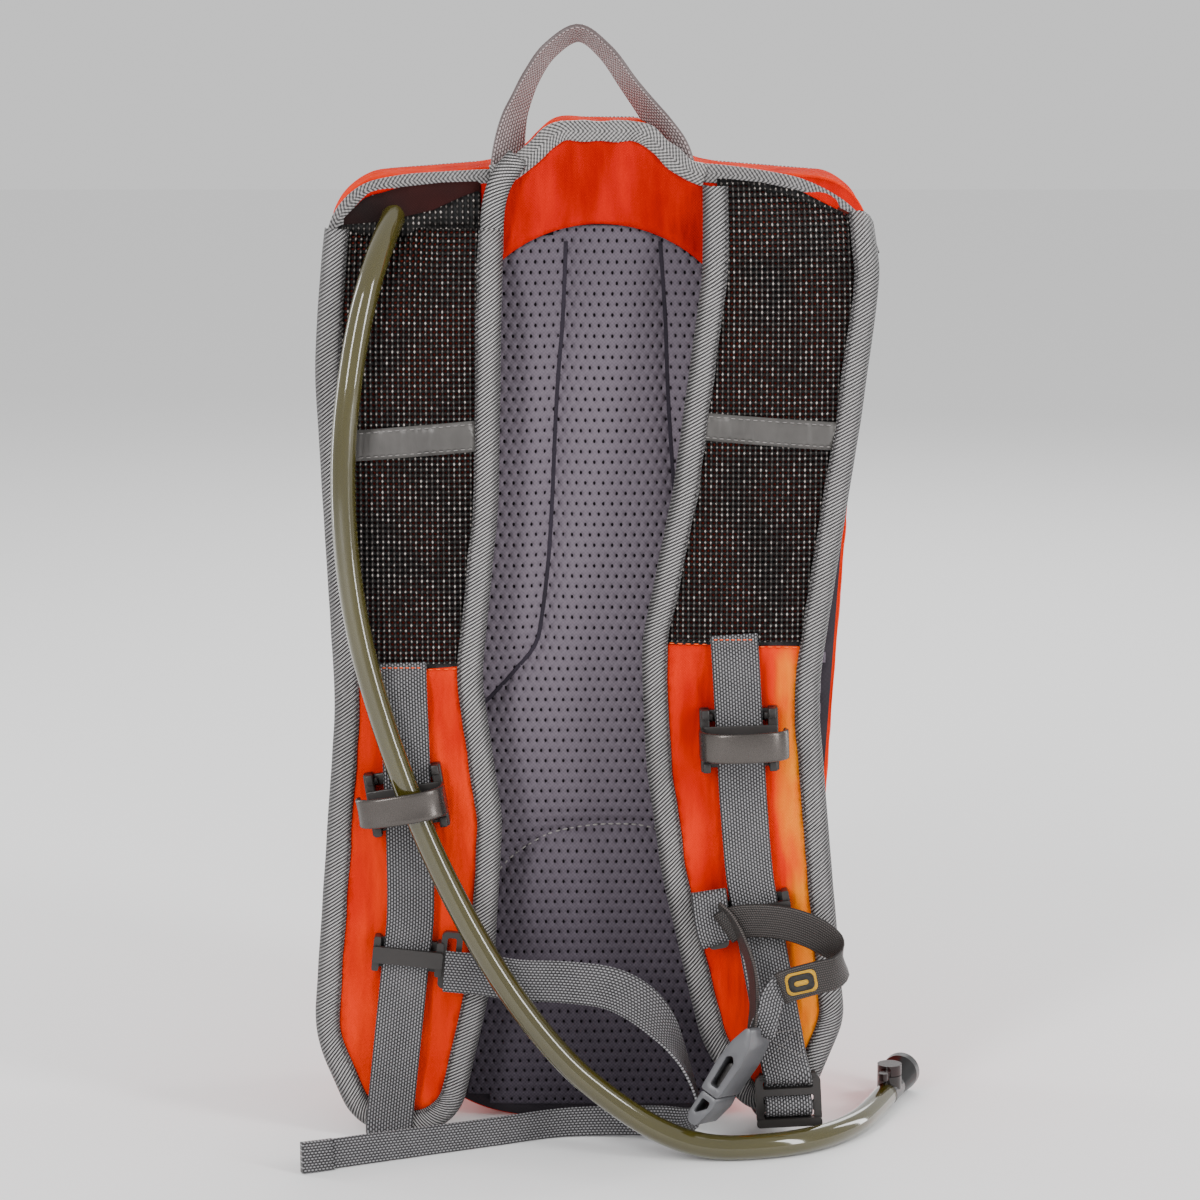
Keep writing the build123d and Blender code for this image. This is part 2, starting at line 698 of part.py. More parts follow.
def make_hose():
    save(hose(HOSE_ROUTE, HOSE, HOSE_BORE), "drink_tube")
    end = Vector(*HOSE_ROUTE[-1])
    way = (end - Vector(*HOSE_ROUTE[-2])).normalized()
    axis = Plane(origin=end, x_dir=Vector(0, 0, 1), z_dir=way)

    with BuildPart() as valve_collar:
        with BuildSketch(axis):
            Circle(5.1)
            Circle(2.6, mode=Mode.SUBTRACT)
        extrude(amount=3.0)
    save(valve_collar, "valve_collar")

    with BuildPart() as valve_body:
        with BuildSketch(axis.offset(3.0)):
            Circle(5.2)
            Circle(2.4, mode=Mode.SUBTRACT)
        extrude(amount=14.0)
        with BuildSketch(Plane.XY.offset(7.0)):
            with Locations(end + way * 9):
                Circle(5.4)
        extrude(amount=6.0)
    save(valve_body, "valve_body")

    knob = end + way * 9
    with BuildPart() as shutoff_lever:
        with BuildSketch(Plane.XY.offset(13.3)):
            with Locations(knob):
                Circle(5.4)
        extrude(amount=4.6)
        with BuildSketch(Plane.XY.offset(13.3)):
            with Locations(knob):
                with Locations(Location((0, 0), math.degrees(math.atan2(way.Y, way.X)))):
                    with Locations((-8.0, 0)):
                        RectangleRounded(9, 4, 1.5)
        extrude(amount=3.2)
    save(shutoff_lever, "shutoff_lever")

    lift = Plane(origin=end + way * 17, x_dir=Vector(0, 0, 1), z_dir=way)
    with BuildPart() as mouthpiece:
        with BuildSketch(lift):
            Circle(5.0)
        with BuildSketch(lift.offset(9)):
            with Locations((3.2, 0)):
                Circle(8.2)
        loft()
        with BuildSketch(lift.offset(9)):
            with Locations((3.2, 0)):
                Circle(8.2)
        extrude(amount=5)
    save(mouthpiece, "mouthpiece")


# ---------------------------------------------------------------- outer face

def on_zip_arc(angle, radius=ZIP_RADIUS):
    angle = math.radians(angle)
    return ZIP_CENTRE[0] + radius * math.cos(angle), ZIP_CENTRE[1] + radius * math.sin(angle)


def zip_arc(width, near, far, start, sweep_angle):
    """A strip along the main zip's arc."""
    with BuildPart() as strip:
        with BuildSketch(OUTER.offset(near)):
            with BuildLine():
                CenterArc(ZIP_CENTRE, ZIP_RADIUS, start, sweep_angle)
            trace(line_width=width)
        extrude(amount=far - near)
    return strip.part


SLIDER_ANGLE = 168.0
PULL_LENGTH = 34.0
PULL_WIDTH = 6.0
PULL_THICK = 2.0
PULL_EYE = 1.2              # from a pull's end to the pin that it turns on
PULL_BACK = 6.4             # height of a pull's underside off the bag's face


def pull_pin(at, along):
    """The round pin that a zip pull turns on."""
    middle = OUTER.from_local_coords(Vector(at[0], at[1], PULL_BACK + PULL_THICK / 2))
    with BuildPart() as pin:
        with BuildSketch(Plane(origin=middle, z_dir=along)):
            Circle(1.3)
        extrude(amount=PULL_WIDTH / 2, both=True)
    return pin.part


def make_main_zip():
    with BuildPart() as main_zip:
        add(zip_arc(ZIP_TAPE, 0, 0.8, 4, 172))
        add(zip_arc(ZIP_COIL, 0.8, 2.4, 6, 168))
    save(main_zip, "main_zip")
    body = OUTER.offset(1.1)
    with BuildPart() as main_zip_slider:
        with BuildSketch(body):
            with Locations(Location(on_zip_arc(SLIDER_ANGLE), SLIDER_ANGLE)):
                RectangleRounded(10, 13, 2.5)
        extrude(amount=4.6)
        add(zip_arc(ZIP_COIL + 0.8, 0, 2.8, 4, 172), mode=Mode.SUBTRACT)
    save(main_zip_slider, "main_zip_slider")
    with BuildPart() as main_zip_pull:
        with BuildSketch(OUTER.offset(PULL_BACK)):
            with Locations(Location(on_zip_arc(SLIDER_ANGLE), SLIDER_ANGLE)):
                with Locations((0, PULL_LENGTH / 2 - PULL_EYE)):
                    RectangleRounded(PULL_WIDTH, PULL_LENGTH, 2.8)
        extrude(amount=PULL_THICK)
        angle = math.radians(SLIDER_ANGLE)
        out = OUTER.x_dir * math.cos(angle) + OUTER.y_dir * math.sin(angle)
        add(pull_pin(on_zip_arc(SLIDER_ANGLE), out))
    save(main_zip_pull, "main_zip_pull")


def make_front_pocket():
    middle = (0, (POCKET_LOW + POCKET_HIGH) / 2)
    tall = POCKET_HIGH - POCKET_LOW
    with BuildPart() as front_pocket:
        with BuildSketch(OUTER):
            with Locations(middle):
                RectangleRounded(POCKET_WIDTH, tall, 26)
        extrude(amount=POCKET_DEPTH)
        with BuildSketch(OUTER):
            with Locations(middle):
                RectangleRounded(POCKET_WIDTH - 2 * WALL, tall - 2 * WALL, 24)
        extrude(amount=POCKET_DEPTH - WALL, mode=Mode.SUBTRACT)
    save(front_pocket, "front_pocket")

    with BuildPart() as front_zip:
        with BuildSketch(OUTER.offset(0)):
            with Locations((0, POCKET_HIGH + 13)):
                Rectangle(POCKET_WIDTH - 20, 22)
        extrude(amount=0.8)
        with BuildSketch(OUTER.offset(0.8)):
            with Locations((0, POCKET_HIGH + 13)):
                Rectangle(POCKET_WIDTH - 24, ZIP_COIL)
        extrude(amount=1.6)
    save(front_zip, "front_zip")

    start = (POCKET_WIDTH / 2 - 22, POCKET_HIGH + 13)
    with BuildPart() as front_zip_slider:
        with BuildSketch(OUTER.offset(1.1)):
            with Locations(start):
                RectangleRounded(13, 10, 2.5)
        extrude(amount=4.6)
        with BuildSketch(OUTER):
            with Locations(start):
                Rectangle(40, ZIP_COIL + 0.8)
        extrude(amount=2.8, mode=Mode.SUBTRACT)
    save(front_zip_slider, "front_zip_slider")
    with BuildPart() as front_zip_pull:
        with BuildSketch(OUTER.offset(PULL_BACK)):
            with Locations((start[0] - PULL_LENGTH / 2 + PULL_EYE, start[1])):
                RectangleRounded(PULL_LENGTH, PULL_WIDTH, 2.8)
        extrude(amount=PULL_THICK)
        add(pull_pin(start, OUTER.y_dir))
    save(front_zip_pull, "front_zip_pull")


CORD_POINTS = [
    (0, 345), (0, 304), (-5, 300.5), (-44, 293.5), (-46, 289.5), (44, 263.5), (46, 259.5),
    (-44, 234.5), (-46, 230.5), (44, 217.5), (46, 213.5), (0, 205),
]
CORD_LOOPS = [(-46, 291.5), (46, 261.5), (-46, 232.5), (46, 215.5)]
CORD_HEIGHT = 5.2
LOCK_AT = (0, 316)


def cord_bore(radius):
    """A rod along the straight end of the shock cord, to bore the cord lock with."""
    foot = OUTER.from_local_coords(Vector(0, 290, CORD_HEIGHT))
    with BuildPart() as rod:
        with BuildSketch(Plane(origin=foot, x_dir=OUTER.x_dir, z_dir=OUTER.y_dir)):
            Circle(radius)
        extrude(amount=70)
    return rod.part


def make_shock_cord():
    place = [OUTER.from_local_coords(Vector(u, v, CORD_HEIGHT)) for u, v in CORD_POINTS]
    with BuildPart() as shock_cord:
        with BuildLine() as path:
            FilletPolyline(*place, radius=2)
        with BuildSketch(Plane(origin=path.line @ 0, z_dir=path.line % 0)):
            Circle(SHOCK_CORD / 2)
        sweep()
    save(shock_cord, "shock_cord")
    with BuildPart() as cord_loops:
        for u, v in CORD_LOOPS:
            hand = 1 if u > 0 else -1
            with BuildSketch(OUTER):
                with Locations((u + hand * 4.5, v)):
                    Rectangle(7, 9)
            extrude(amount=8.4)
    save(cord_loops, "cord_loops")
    with BuildPart() as cord_lock:
        with BuildSketch(OUTER.offset(0.6)):
            with Locations(LOCK_AT):
                RectangleRounded(17, 17, 5)
        extrude(amount=12)
        with BuildSketch(OUTER.offset(3)):
            with Locations((LOCK_AT[0], LOCK_AT[1] + 5)):
                Rectangle(11.4, 12)
        extrude(amount=7, mode=Mode.SUBTRACT)
        add(cord_bore(2.0), mode=Mode.SUBTRACT)
    save(cord_lock, "cord_lock")
    with BuildPart() as cord_lock_button:
        with BuildSketch(OUTER.offset(3.3)):
            with Locations((LOCK_AT[0], LOCK_AT[1] + 8.0)):
                RectangleRounded(10.8, 11, 1.5)
        extrude(amount=6.4)
        add(cord_bore(2.4), mode=Mode.SUBTRACT)
    save(cord_lock_button, "cord_lock_button")


make_bag()
make_reservoir()
make_port_elbow()
make_back()
make_handle()
make_strap("left", LEFT_STRAP, LEFT_STRAP_RADII, LEFT_BEND_Z, LEFT_SEAM, LEFT_WEB,
           [(-130, 304), (-30, 312), (-30, 299), (-130, 291)])
make_strap("right", RIGHT_STRAP, RIGHT_STRAP_RADII, RIGHT_BEND_Z, RIGHT_SEAM, RIGHT_WEB,
           [(30, 314.5), (120, 308), (120, 296), (30, 303)])
make_clip("left_hose_clip", (-81.5, 150), 9, 1)
make_clip("right_hose_clip", (58.6, 176), 2, -1)
make_slider("left_sternum_slider", LEFT_SLIDER, web_angle(LEFT_WEB, 1), 1)
make_slider("right_sternum_slider", RIGHT_SLIDER, web_angle(RIGHT_WEB, 1), -1)
make_sternum_webs()
make_buckle()
make_ladder_lock("left", LEFT_LOCK)
make_ladder_lock("right", RIGHT_LOCK)
make_adjusters()
make_hose()
make_main_zip()
make_front_pocket()
make_shock_cord()
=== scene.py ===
"""Slim hydration backpack: its visible cloth, webbing, hose and hardware, on the CAD frame.

Lengths are millimetres, but for the studio and the hose's values, which are metres; meshes are
scaled to metres when they are made. +Z is up and the harness faces -Y.
"""
import math
from functools import partial, partialmethod

import bpy
import numpy as np
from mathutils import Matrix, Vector, geometry, noise

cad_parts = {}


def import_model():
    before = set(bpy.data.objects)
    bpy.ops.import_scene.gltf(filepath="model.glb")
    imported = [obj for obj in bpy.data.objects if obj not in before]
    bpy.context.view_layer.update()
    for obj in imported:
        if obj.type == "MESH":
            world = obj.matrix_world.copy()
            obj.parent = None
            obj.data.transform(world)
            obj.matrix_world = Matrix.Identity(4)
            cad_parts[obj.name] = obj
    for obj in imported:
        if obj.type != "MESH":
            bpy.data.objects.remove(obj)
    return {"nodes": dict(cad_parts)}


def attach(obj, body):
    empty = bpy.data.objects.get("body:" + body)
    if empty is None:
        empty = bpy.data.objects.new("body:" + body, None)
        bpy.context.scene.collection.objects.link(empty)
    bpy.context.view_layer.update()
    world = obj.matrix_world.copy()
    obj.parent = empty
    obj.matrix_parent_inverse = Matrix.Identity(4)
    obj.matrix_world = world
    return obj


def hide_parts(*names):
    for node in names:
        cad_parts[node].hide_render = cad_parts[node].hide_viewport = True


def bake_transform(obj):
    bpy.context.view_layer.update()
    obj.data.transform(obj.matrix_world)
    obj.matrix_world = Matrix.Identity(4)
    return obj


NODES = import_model()["nodes"]
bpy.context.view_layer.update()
MM = 0.001
BACKWARD = (0, -1, 0)       # out of the harness side


# ---------------------------------------------------------------- camera, lights, floor

def put(name, data):
    obj = bpy.data.objects.new(name, data)
    bpy.context.collection.objects.link(obj)
    return obj


def look_at(obj, place, target):
    obj.location = place
    obj.rotation_euler = (Vector(target) - obj.location).to_track_quat("-Z", "Y").to_euler()


def make_camera():
    target = Vector((0, -0.030, 0.234))
    distance = 1.6
    elevation = math.radians(10)
    camera = put("camera", bpy.data.cameras.new("camera"))
    camera.data.lens = 114.3
    back = distance * Vector((0, -math.cos(elevation), math.sin(elevation)))
    look_at(camera, target + back, target)
    bpy.context.scene.camera = camera


def make_light(name, place, size, watts):
    data = bpy.data.lights.new(name, "AREA")
    data.shape = "RECTANGLE"
    data.size, data.size_y = size
    data.energy = watts
    look_at(put(name, data), place, (0, 0, 0.22))


def make_studio():
    world = bpy.data.worlds.new("studio")
    world.use_nodes = True
    background = world.node_tree.nodes["Background"].inputs
    background["Color"].default_value = (1, 1, 1, 1)
    background["Strength"].default_value = 0.85
    bpy.context.scene.world = world
    make_light("key", (-0.8, -1.5, 1.1), (0.3, 1.5), 24)
    make_light("side", (1.3, -1.0, 0.8), (0.3, 1.5), 20)
    make_light("back", (0.3, 1.6, 1.3), (1.0, 1.0), 12)
    make_light("rim_left", (-1.3, 0.55, 0.45), (0.22, 1.3), 9)
    make_light("rim_right", (1.3, 0.55, 0.45), (0.22, 1.3), 9)
    mesh = bpy.data.meshes.new("floor")
    reach = 6.0
    corners = [(-reach, -reach, 0), (reach, -reach, 0), (reach, reach, 0), (-reach, reach, 0)]
    mesh.from_pydata(corners, [], [(0, 1, 2, 3)])
    floor = put("floor", mesh)
    floor.location.z = -0.0002
    mesh.materials.append(Shader("floor_paint", (0.92, 0.92, 0.92), 0.9).material)


# ---------------------------------------------------------------- shader tools

def srgb(red, green, blue):
    """A colour of 0 to 255 steps as linear values."""
    return tuple((c / 255 / 12.92) if c <= 10 else ((c / 255 + 0.055) / 1.055) ** 2.4
                 for c in (red, green, blue))


class Field:
    """A number that varies over a surface, as a socket of a node tree."""

    def __init__(self, tree, socket):
        self.tree = tree
        self.socket = socket

    def math(self, kind, *others):
        node = self.tree.nodes.new("ShaderNodeMath")
        node.operation = kind
        for slot, value in enumerate((self, *others)):
            if isinstance(value, Field):
                self.tree.links.new(value.socket, node.inputs[slot])
            else:
                node.inputs[slot].default_value = value
        return Field(self.tree, node.outputs[0])

    __add__ = partialmethod(math, "ADD")
    __sub__ = partialmethod(math, "SUBTRACT")
    __mul__ = partialmethod(math, "MULTIPLY")
    sin = partialmethod(math, "SINE")
    abs = partialmethod(math, "ABSOLUTE")
    floor = partialmethod(math, "FLOOR")
    fract = partialmethod(math, "FRACT")

    def smooth(self, low, high):
        """0 at low, 1 at high."""
        node = self.tree.nodes.new("ShaderNodeMapRange")
        node.interpolation_type = "SMOOTHSTEP"
        self.tree.links.new(self.socket, node.inputs["Value"])
        node.inputs["From Min"].default_value = low
        node.inputs["From Max"].default_value = high
        return Field(self.tree, node.outputs["Result"])


class Shader:
    """A procedural material; each method adds one part of its look."""

    def __init__(self, name, colour, rough, **fixed):
        self.material = bpy.data.materials.new(name)
        self.material.use_nodes = True
        self.tree = self.material.node_tree
        self.inputs = self.tree.nodes["Principled BSDF"].inputs
        self.inputs["Base Color"].default_value = (*colour, 1)
        self.inputs["Roughness"].default_value = rough
        for key, value in fixed.items():
            self.inputs[key.replace("_", " ")].default_value = value
        self.material.diffuse_color = (*colour, 1)

    def split(self, socket, scale):
        node = self.tree.nodes.new("ShaderNodeSeparateXYZ")
        self.tree.links.new(socket, node.inputs[0])
        return [Field(self.tree, out) * scale for out in node.outputs]

    def run(self):
        """Millimetres along and across the piece."""
        node = self.tree.nodes.new("ShaderNodeAttribute")
        node.attribute_name = "run"
        return self.split(node.outputs["Vector"], 1.0)[:2]

    def place(self):
        """Millimetres in the object's own frame."""
        node = self.tree.nodes.new("ShaderNodeTexCoord")
        return self.split(node.outputs["Object"], 1 / MM)

    def noise(self, size, detail=2.0, stretch=(1, 1, 1)):
        """Noise with features of about size millimetres."""
        coord = self.tree.nodes.new("ShaderNodeTexCoord")
        mapping = self.tree.nodes.new("ShaderNodeMapping")
        mapping.inputs["Scale"].default_value = [s / (size * MM) for s in stretch]
        node = self.tree.nodes.new("ShaderNodeTexNoise")
        node.inputs["Scale"].default_value = 1.0
        node.inputs["Detail"].default_value = detail
        self.tree.links.new(coord.outputs["Object"], mapping.inputs[0])
        self.tree.links.new(mapping.outputs[0], node.inputs["Vector"])
        return Field(self.tree, node.outputs[0])

    def tint(self, amount, low, high):
        """Base colour from low to high as the field goes from 0 to 1."""
        ramp = self.tree.nodes.new("ShaderNodeValToRGB")
        ramp.color_ramp.elements[0].color = (*low, 1)
        ramp.color_ramp.elements[1].color = (*high, 1)
        self.tree.links.new(amount.socket, ramp.inputs[0])
        self.tree.links.new(ramp.outputs[0], self.inputs["Base Color"])
        return ramp.color_ramp

    def roughness(self, amount, low, high):
        self.tree.links.new((amount * (high - low) + low).socket, self.inputs["Roughness"])

    def bump(self, height, depth):
        """Height 0 to 1 stands for depth millimetres; gives the finished material."""
        node = self.tree.nodes.new("ShaderNodeBump")
        node.inputs["Distance"].default_value = depth * MM
        self.tree.links.new(height.socket, node.inputs["Height"])
        self.tree.links.new(node.outputs[0], self.inputs["Normal"])
        return self.material


def ridge(field):
    """A round ridge in each unit of the field."""
    return (field.fract() * math.pi).sin()


def plain_weave(shader, pitch):
    """Height of a fine plain weave."""
    u, v = shader.run()
    return ((u * (math.pi / pitch)).sin() * (v * (math.pi / pitch)).sin()) * 0.5 + 0.5


def cloth_shader(name, colour, dark, pitch, rough=0.62, patches=34):
    shader = Shader(name, colour, rough, Sheen_Weight=0.0, Specular_IOR_Level=0.2)
    weave = plain_weave(shader, pitch)
    cloud = shader.noise(patches)
    shader.tint(cloud.smooth(0.3, 0.68) * 0.8 + weave * 0.2, dark, colour)
    shader.roughness(cloud, rough - 0.08, rough + 0.08)
    return shader.bump(weave * 0.6 + shader.noise(2.0) * 0.4, 0.12)


def glow_shader(name, light, dark, lit_side_colour=None, across=(0, 1)):
    """Fluorescent cloth with painted shade, red in its folds, and painted light, warmer towards one
    side, where lit_side_colour is given.
    """
    shader = Shader(name, light, 0.7, Specular_IOR_Level=0.03)
    weave = plain_weave(shader, 0.55)
    crease = shader.noise(13, 2, (1.7, 1.0, 0.4))
    # Painted shade: darker red where the crease noise is low, in the hollows of the bumped folds.
    amount = crease.smooth(0.25, 0.75) * 0.5 + shader.noise(40).smooth(0.3, 0.65) * 0.5
    # Painted light: lighter and warmer towards larger x, across the given range.
    if lit_side_colour:
        amount = amount * 0.45 + shader.place()[0].smooth(*across) * 0.5
    ramp = shader.tint(amount * 0.92 + weave * 0.08, dark, lit_side_colour or light)
    if lit_side_colour:
        ramp.elements.new(0.45).color = (*light, 1)
    return shader.bump(crease * 0.95 + weave * 0.05, 2.6)


def webbing_shader(name, light, dark, rib=1.25, pick=1.7, depth=0.35):
    """Short warp floats in columns, stepped by half a pick from each column to the next."""
    shader = Shader(name, light, 0.38, Sheen_Weight=0.03, Specular_IOR_Level=0.35)
    u, v = shader.run()
    ribs = v * (1 / rib)
    step = ribs.floor() * 0.5
    rib_height = ridge(ribs)
    height = rib_height * 0.2 + ridge(u * (1 / pick) + step) * rib_height * 0.8
    shader.tint(height.smooth(0.28, 0.95) * 0.86 + shader.noise(9) * 0.14, dark, light)
    return shader.bump(height, depth)


def binding_shader(name, light, dark, pitch=1.7, slant=1.0):
    """Twill tape: slanting lines that turn back along its middle."""
    shader = Shader(name, light, 0.5, Sheen_Weight=0.35)
    u, v = shader.run()
    lines = ridge((u + v.abs() * slant) * (1 / pitch))
    threads = ((u - v.abs() * slant) * (1.6 / pitch) * math.pi).sin() * 0.5 + 0.5
    height = lines * 0.75 + threads * 0.25
    shader.tint(height.smooth(0.4, 0.95) * 0.85 + shader.noise(7) * 0.15, dark, light)
    return shader.bump(height, 0.3)


def twill_shader(name, light, dark, pitch, depth, lean):
    """Twill tape whose ribs climb across it, each rib a row of short floats, with painted shade
    darkening it towards its rolled edges.
    """
    shader = Shader(name, light, 0.42, Sheen_Weight=0.05, Specular_IOR_Level=0.35)
    u, v = shader.run()
    ribs = (u * 0.8 + v * (0.6 * lean)) * (1 / pitch)
    floats = ridge((u * 0.5 - v * (0.8 * lean)) * (2.2 / pitch) + ribs.floor() * 0.5)
    height = ridge(ribs) * (floats * 0.45 + 0.55)
    # Painted shade: darker towards both edges, where the tape rolls over.
    roll = (v.abs() + shader.noise(24, 1) * 1.6).smooth(2.2, 6.2) * -0.62 + 1
    shader.tint((height.smooth(0.5, 0.92) * 0.9 + shader.noise(7) * 0.1) * roll, dark, light)
    return shader.bump(height, depth)


def plastic_shader(name, colour, rough, grain, metallic=0.0, coat=0.0):
    shader = Shader(name, colour, rough, Metallic=metallic, Coat_Weight=coat,
                    Specular_IOR_Level=0.35)
    fine = shader.noise(grain, 3)
    low, high = ([min(1, c * part) for c in colour] for part in (0.82, 1.12))
    shader.tint(shader.noise(16), low, high)
    shader.roughness(fine, rough - 0.06, rough + 0.1)
    return shader.bump(fine, 0.012)


# Key, name, light and dark colour in 0 to 255 steps, then what the shader takes after them
WOVEN = {
    cloth_shader: [
        ("lining", "lining_cloth", (120, 118, 118), (92, 90, 92), 0.6),
        ("foam", "foam_dark", (52, 46, 52), (34, 30, 36), 1.1, 0.9),
        ("spacer", "strap_spacer", (104, 28, 14), (5, 4, 4), 2.1, 0.9, 26),
        ("seam_dark", "seam_shadow", (44, 38, 48), (32, 27, 35), 0.8, 0.8),
        # Painted shade: dark red cloth in and round the hose's port, where the opening is in shadow.
        ("port", "port_dark", (44, 6, 4), (8, 3, 3), 0.6, 0.8)],
    twill_shader: [
        ("binding", "binding_twill", (206, 202, 202), (4, 3, 4), 1.3, 0.45, -1),
        ("binding_right", "binding_twill_right", (200, 196, 196), (5, 4, 5), 1.3, 0.45, 1)],
    binding_shader: [
        ("herringbone", "binding_herringbone", (166, 162, 161), (8, 7, 8), 1.8),
        ("seam_tape", "seam_twill", (150, 146, 146), (8, 7, 8), 1.8, 0.9),
        ("shock", "shock_braid", (150, 148, 148), (70, 68, 70), 0.9, 1.2)],
    webbing_shader: [
        ("webbing", "webbing_grey", (146, 144, 147), (9, 8, 10), 1.2, 1.6, 0.45),
        ("handle", "webbing_handle", (178, 162, 161), (74, 62, 62)),
        ("label", "webbing_label", (72, 64, 61), (14, 12, 11), 1.0, 0.9, 0.2),
        ("patch", "patch_weave", (226, 178, 40), (168, 120, 16), 0.6, 0.5, 0.15),
        ("patch_dark", "patch_ground", (40, 38, 34), (20, 18, 18), 0.6, 0.5, 0.15),
        ("zip_tape", "zip_tape", (72, 70, 72), (40, 38, 40), 0.9, 0.8, 0.15)],
}
# Key, name, colour, roughness, grain, metallic and coat
MOULDED = [
    ("thread_orange", "thread_orange", (250, 90, 26), 0.6, 0.4),
    ("thread_pale", "thread_pale", (132, 128, 126), 0.6, 0.4),
    ("thread_dark", "thread_dark", (56, 52, 54), 0.6, 0.4),
    ("hardware", "hardware_dark", (50, 47, 46), 0.34, 0.8, 0.15),
    ("clip", "hardware_gunmetal", (84, 79, 76), 0.26, 0.8, 0.75),
    ("buckle", "buckle_grey", (92, 92, 95), 0.3, 0.8, 0.15),
    ("valve", "valve_brown", (26, 20, 18), 0.22, 0.7, 0.0, 0.4),
    ("lever", "lever_red", (30, 9, 9), 0.2, 0.7, 0.0, 0.3),
    ("rubber", "bite_rubber", (13, 12, 13), 0.3, 0.6, 0.0, 0.3),
    ("zip_teeth", "zip_teeth", (96, 94, 94), 0.35, 0.5),
    ("zip_metal", "zip_metal", (150, 150, 150), 0.28, 0.7, 0.9),
    ("pull", "zip_pull", (60, 58, 58), 0.5, 0.6),
]


def make_materials():
    m = {"panel": panel_shader(), "mesh": knit_shader(), "tape": reflector_shader()}
    m["hose"], m["bore"] = hose_shaders()
    for shader, rows in WOVEN.items():
        for key, name, light, dark, *rest in rows:
            m[key] = shader(name, srgb(*light), srgb(*dark), *rest)
    for key, name, colour, *rest in MOULDED:
        m[key] = plastic_shader(name, srgb(*colour), *rest)
    m["orange"] = glow_shader("orange_cloth", (0.80, 0.034, 0.0), (0.50, 0.006, 0.0))
    # The yoke's copy of the orange cloth is darker all over, painted shade; the right strap's copy
    # adds painted light, warmer towards its outer side.
    m["orange_deep"] = glow_shader("orange_deep", (0.58, 0.008, 0.001), (0.26, 0.0, 0.0))
    m["orange_warm"] = glow_shader("orange_warm", (0.74, 0.022, 0.0), (0.40, 0.002, 0.0),
                                   (1.0, 0.40, 0.004), (62.0, 88.0))
    m["valve_clear"] = Shader("valve_clear", srgb(84, 74, 34), 0.12, Transmission_Weight=0.7,
                              IOR=1.45).material
    m["film"] = Shader("bladder_film", srgb(190, 205, 215), 0.15, Transmission_Weight=0.6,
                       IOR=1.4).material
    return m


MESH_PITCH = (2.3, 2.35)


def panel_shader():
    """Grey-mauve face of the padded back, with painted shade low down where it curves under, and
    darker towards its top.
    """
    shader = Shader("panel_mauve", srgb(88, 79, 90), 0.75, Specular_IOR_Level=0.25)
    v = shader.run()[1]
    weave = plain_weave(shader, 0.8)
    # Painted shade: the tint darkens below about 240 mm up the panel, and again from 300 mm up.
    height = v.smooth(10.0, 240.0) * (v.smooth(300.0, 400.0) * -0.45 + 1)
    shader.tint(height * 0.75 + weave * 0.25, srgb(46, 40, 50), srgb(104, 95, 105))
    return shader.bump(weave * 0.5 + shader.noise(1.6) * 0.5, 0.12)


def knit_shader():
    """Black spacer-mesh yarn, with a glint on some of the knots where the yarns cross."""
    shader = Shader("mesh_black", srgb(24, 22, 21), 0.5, Specular_IOR_Level=0.15)
    across, along = ((field * (math.pi / pitch)).sin().abs()
                     for field, pitch in zip(shader.run(), MESH_PITCH))
    knots = (across * -1 + 1) * (along * -0.7 + 1)
    glint = shader.noise(1.9).smooth(0.46, 0.68) * 0.85 + shader.noise(14) * 0.3
    shader.tint(knots.smooth(0.25, 0.75) * glint, srgb(7, 6, 6), srgb(196, 186, 180))
    return shader.bump(knots + shader.noise(2.4) * 0.6, 0.6)


def reflector_shader():
    shader = Shader("reflective_strip", srgb(112, 111, 110), 0.4, Metallic=0.35)
    shader.tint(shader.noise(11), srgb(66, 64, 62), srgb(96, 93, 91))
    return shader.bump(shader.noise(13, 2, (1.6, 1, 0.5)), 1.6)


def hose_shaders():
    """Soft olive vinyl, and the bore inside it."""
    wall = Shader("hose_vinyl", (0.066, 0.055, 0.008), 0.14, Transmission_Weight=0.3, IOR=1.5,
                  Coat_Weight=1.0, Coat_Roughness=0.03)
    wall.tint(wall.noise(60, 1), (0.044, 0.036, 0.003), (0.084, 0.070, 0.010))
    bore = Shader("hose_bore", (0.10, 0.085, 0.012), 0.3, IOR=1.34)
    bore.tint(bore.noise(46, 1), (0.075, 0.064, 0.008), (0.14, 0.12, 0.02))
    return wall.material, bore.material


# ---------------------------------------------------------------- geometry tools

def lengths(line):
    """How far along a line each of its points is."""
    return np.concatenate([[0], np.cumsum(np.linalg.norm(np.diff(line, axis=0), axis=1))])


def spaced(points, step, closed=False):
    """The same line with evenly spaced points; columns past the third are carried along."""
    points = np.asarray(points, float)
    if closed:
        points = np.vstack([points, points[:1]])
    run = lengths(points[:, :3])
    count = max(2, int(round(run[-1] / step)))
    at = np.linspace(0, run[-1], count + 1)[:-1 if closed else None]
    return np.column_stack([np.interp(at, run, col) for col in points.T])


def flowing(controls, step):
    """A smooth line through control points (Catmull-Rom), evenly spaced."""
    c = np.asarray(controls, float)
    c = np.vstack([2 * c[0] - c[1], c, 2 * c[-1] - c[-2]])
    t = np.linspace(0, 1, 16, endpoint=False)[:, None]
    parts = []
    for i in range(1, len(c) - 2):
        a, b, d, e = c[i - 1:i + 3]
        parts.append(0.5 * (2 * b + (d - a) * t + (2 * a - 5 * b + 4 * d - e) * t ** 2
                            + (3 * b - a - 3 * d + e) * t ** 3))
    return spaced(np.vstack([*parts, c[-2:-1]]), step)


def arc(x, z, radius, start, end, count):
    """Plane points round a circle, between two angles in degrees."""
    turn = np.radians(np.linspace(start, end, count))
    return np.column_stack([x + np.cos(turn) * radius, z + np.sin(turn) * radius])


def upright(points, y):
    """Plane points (x, z) stood up at depth y."""
    points = np.asarray(points, float)
    return np.column_stack([points[:, 0], np.zeros(len(points)) + y, points[:, 1]])


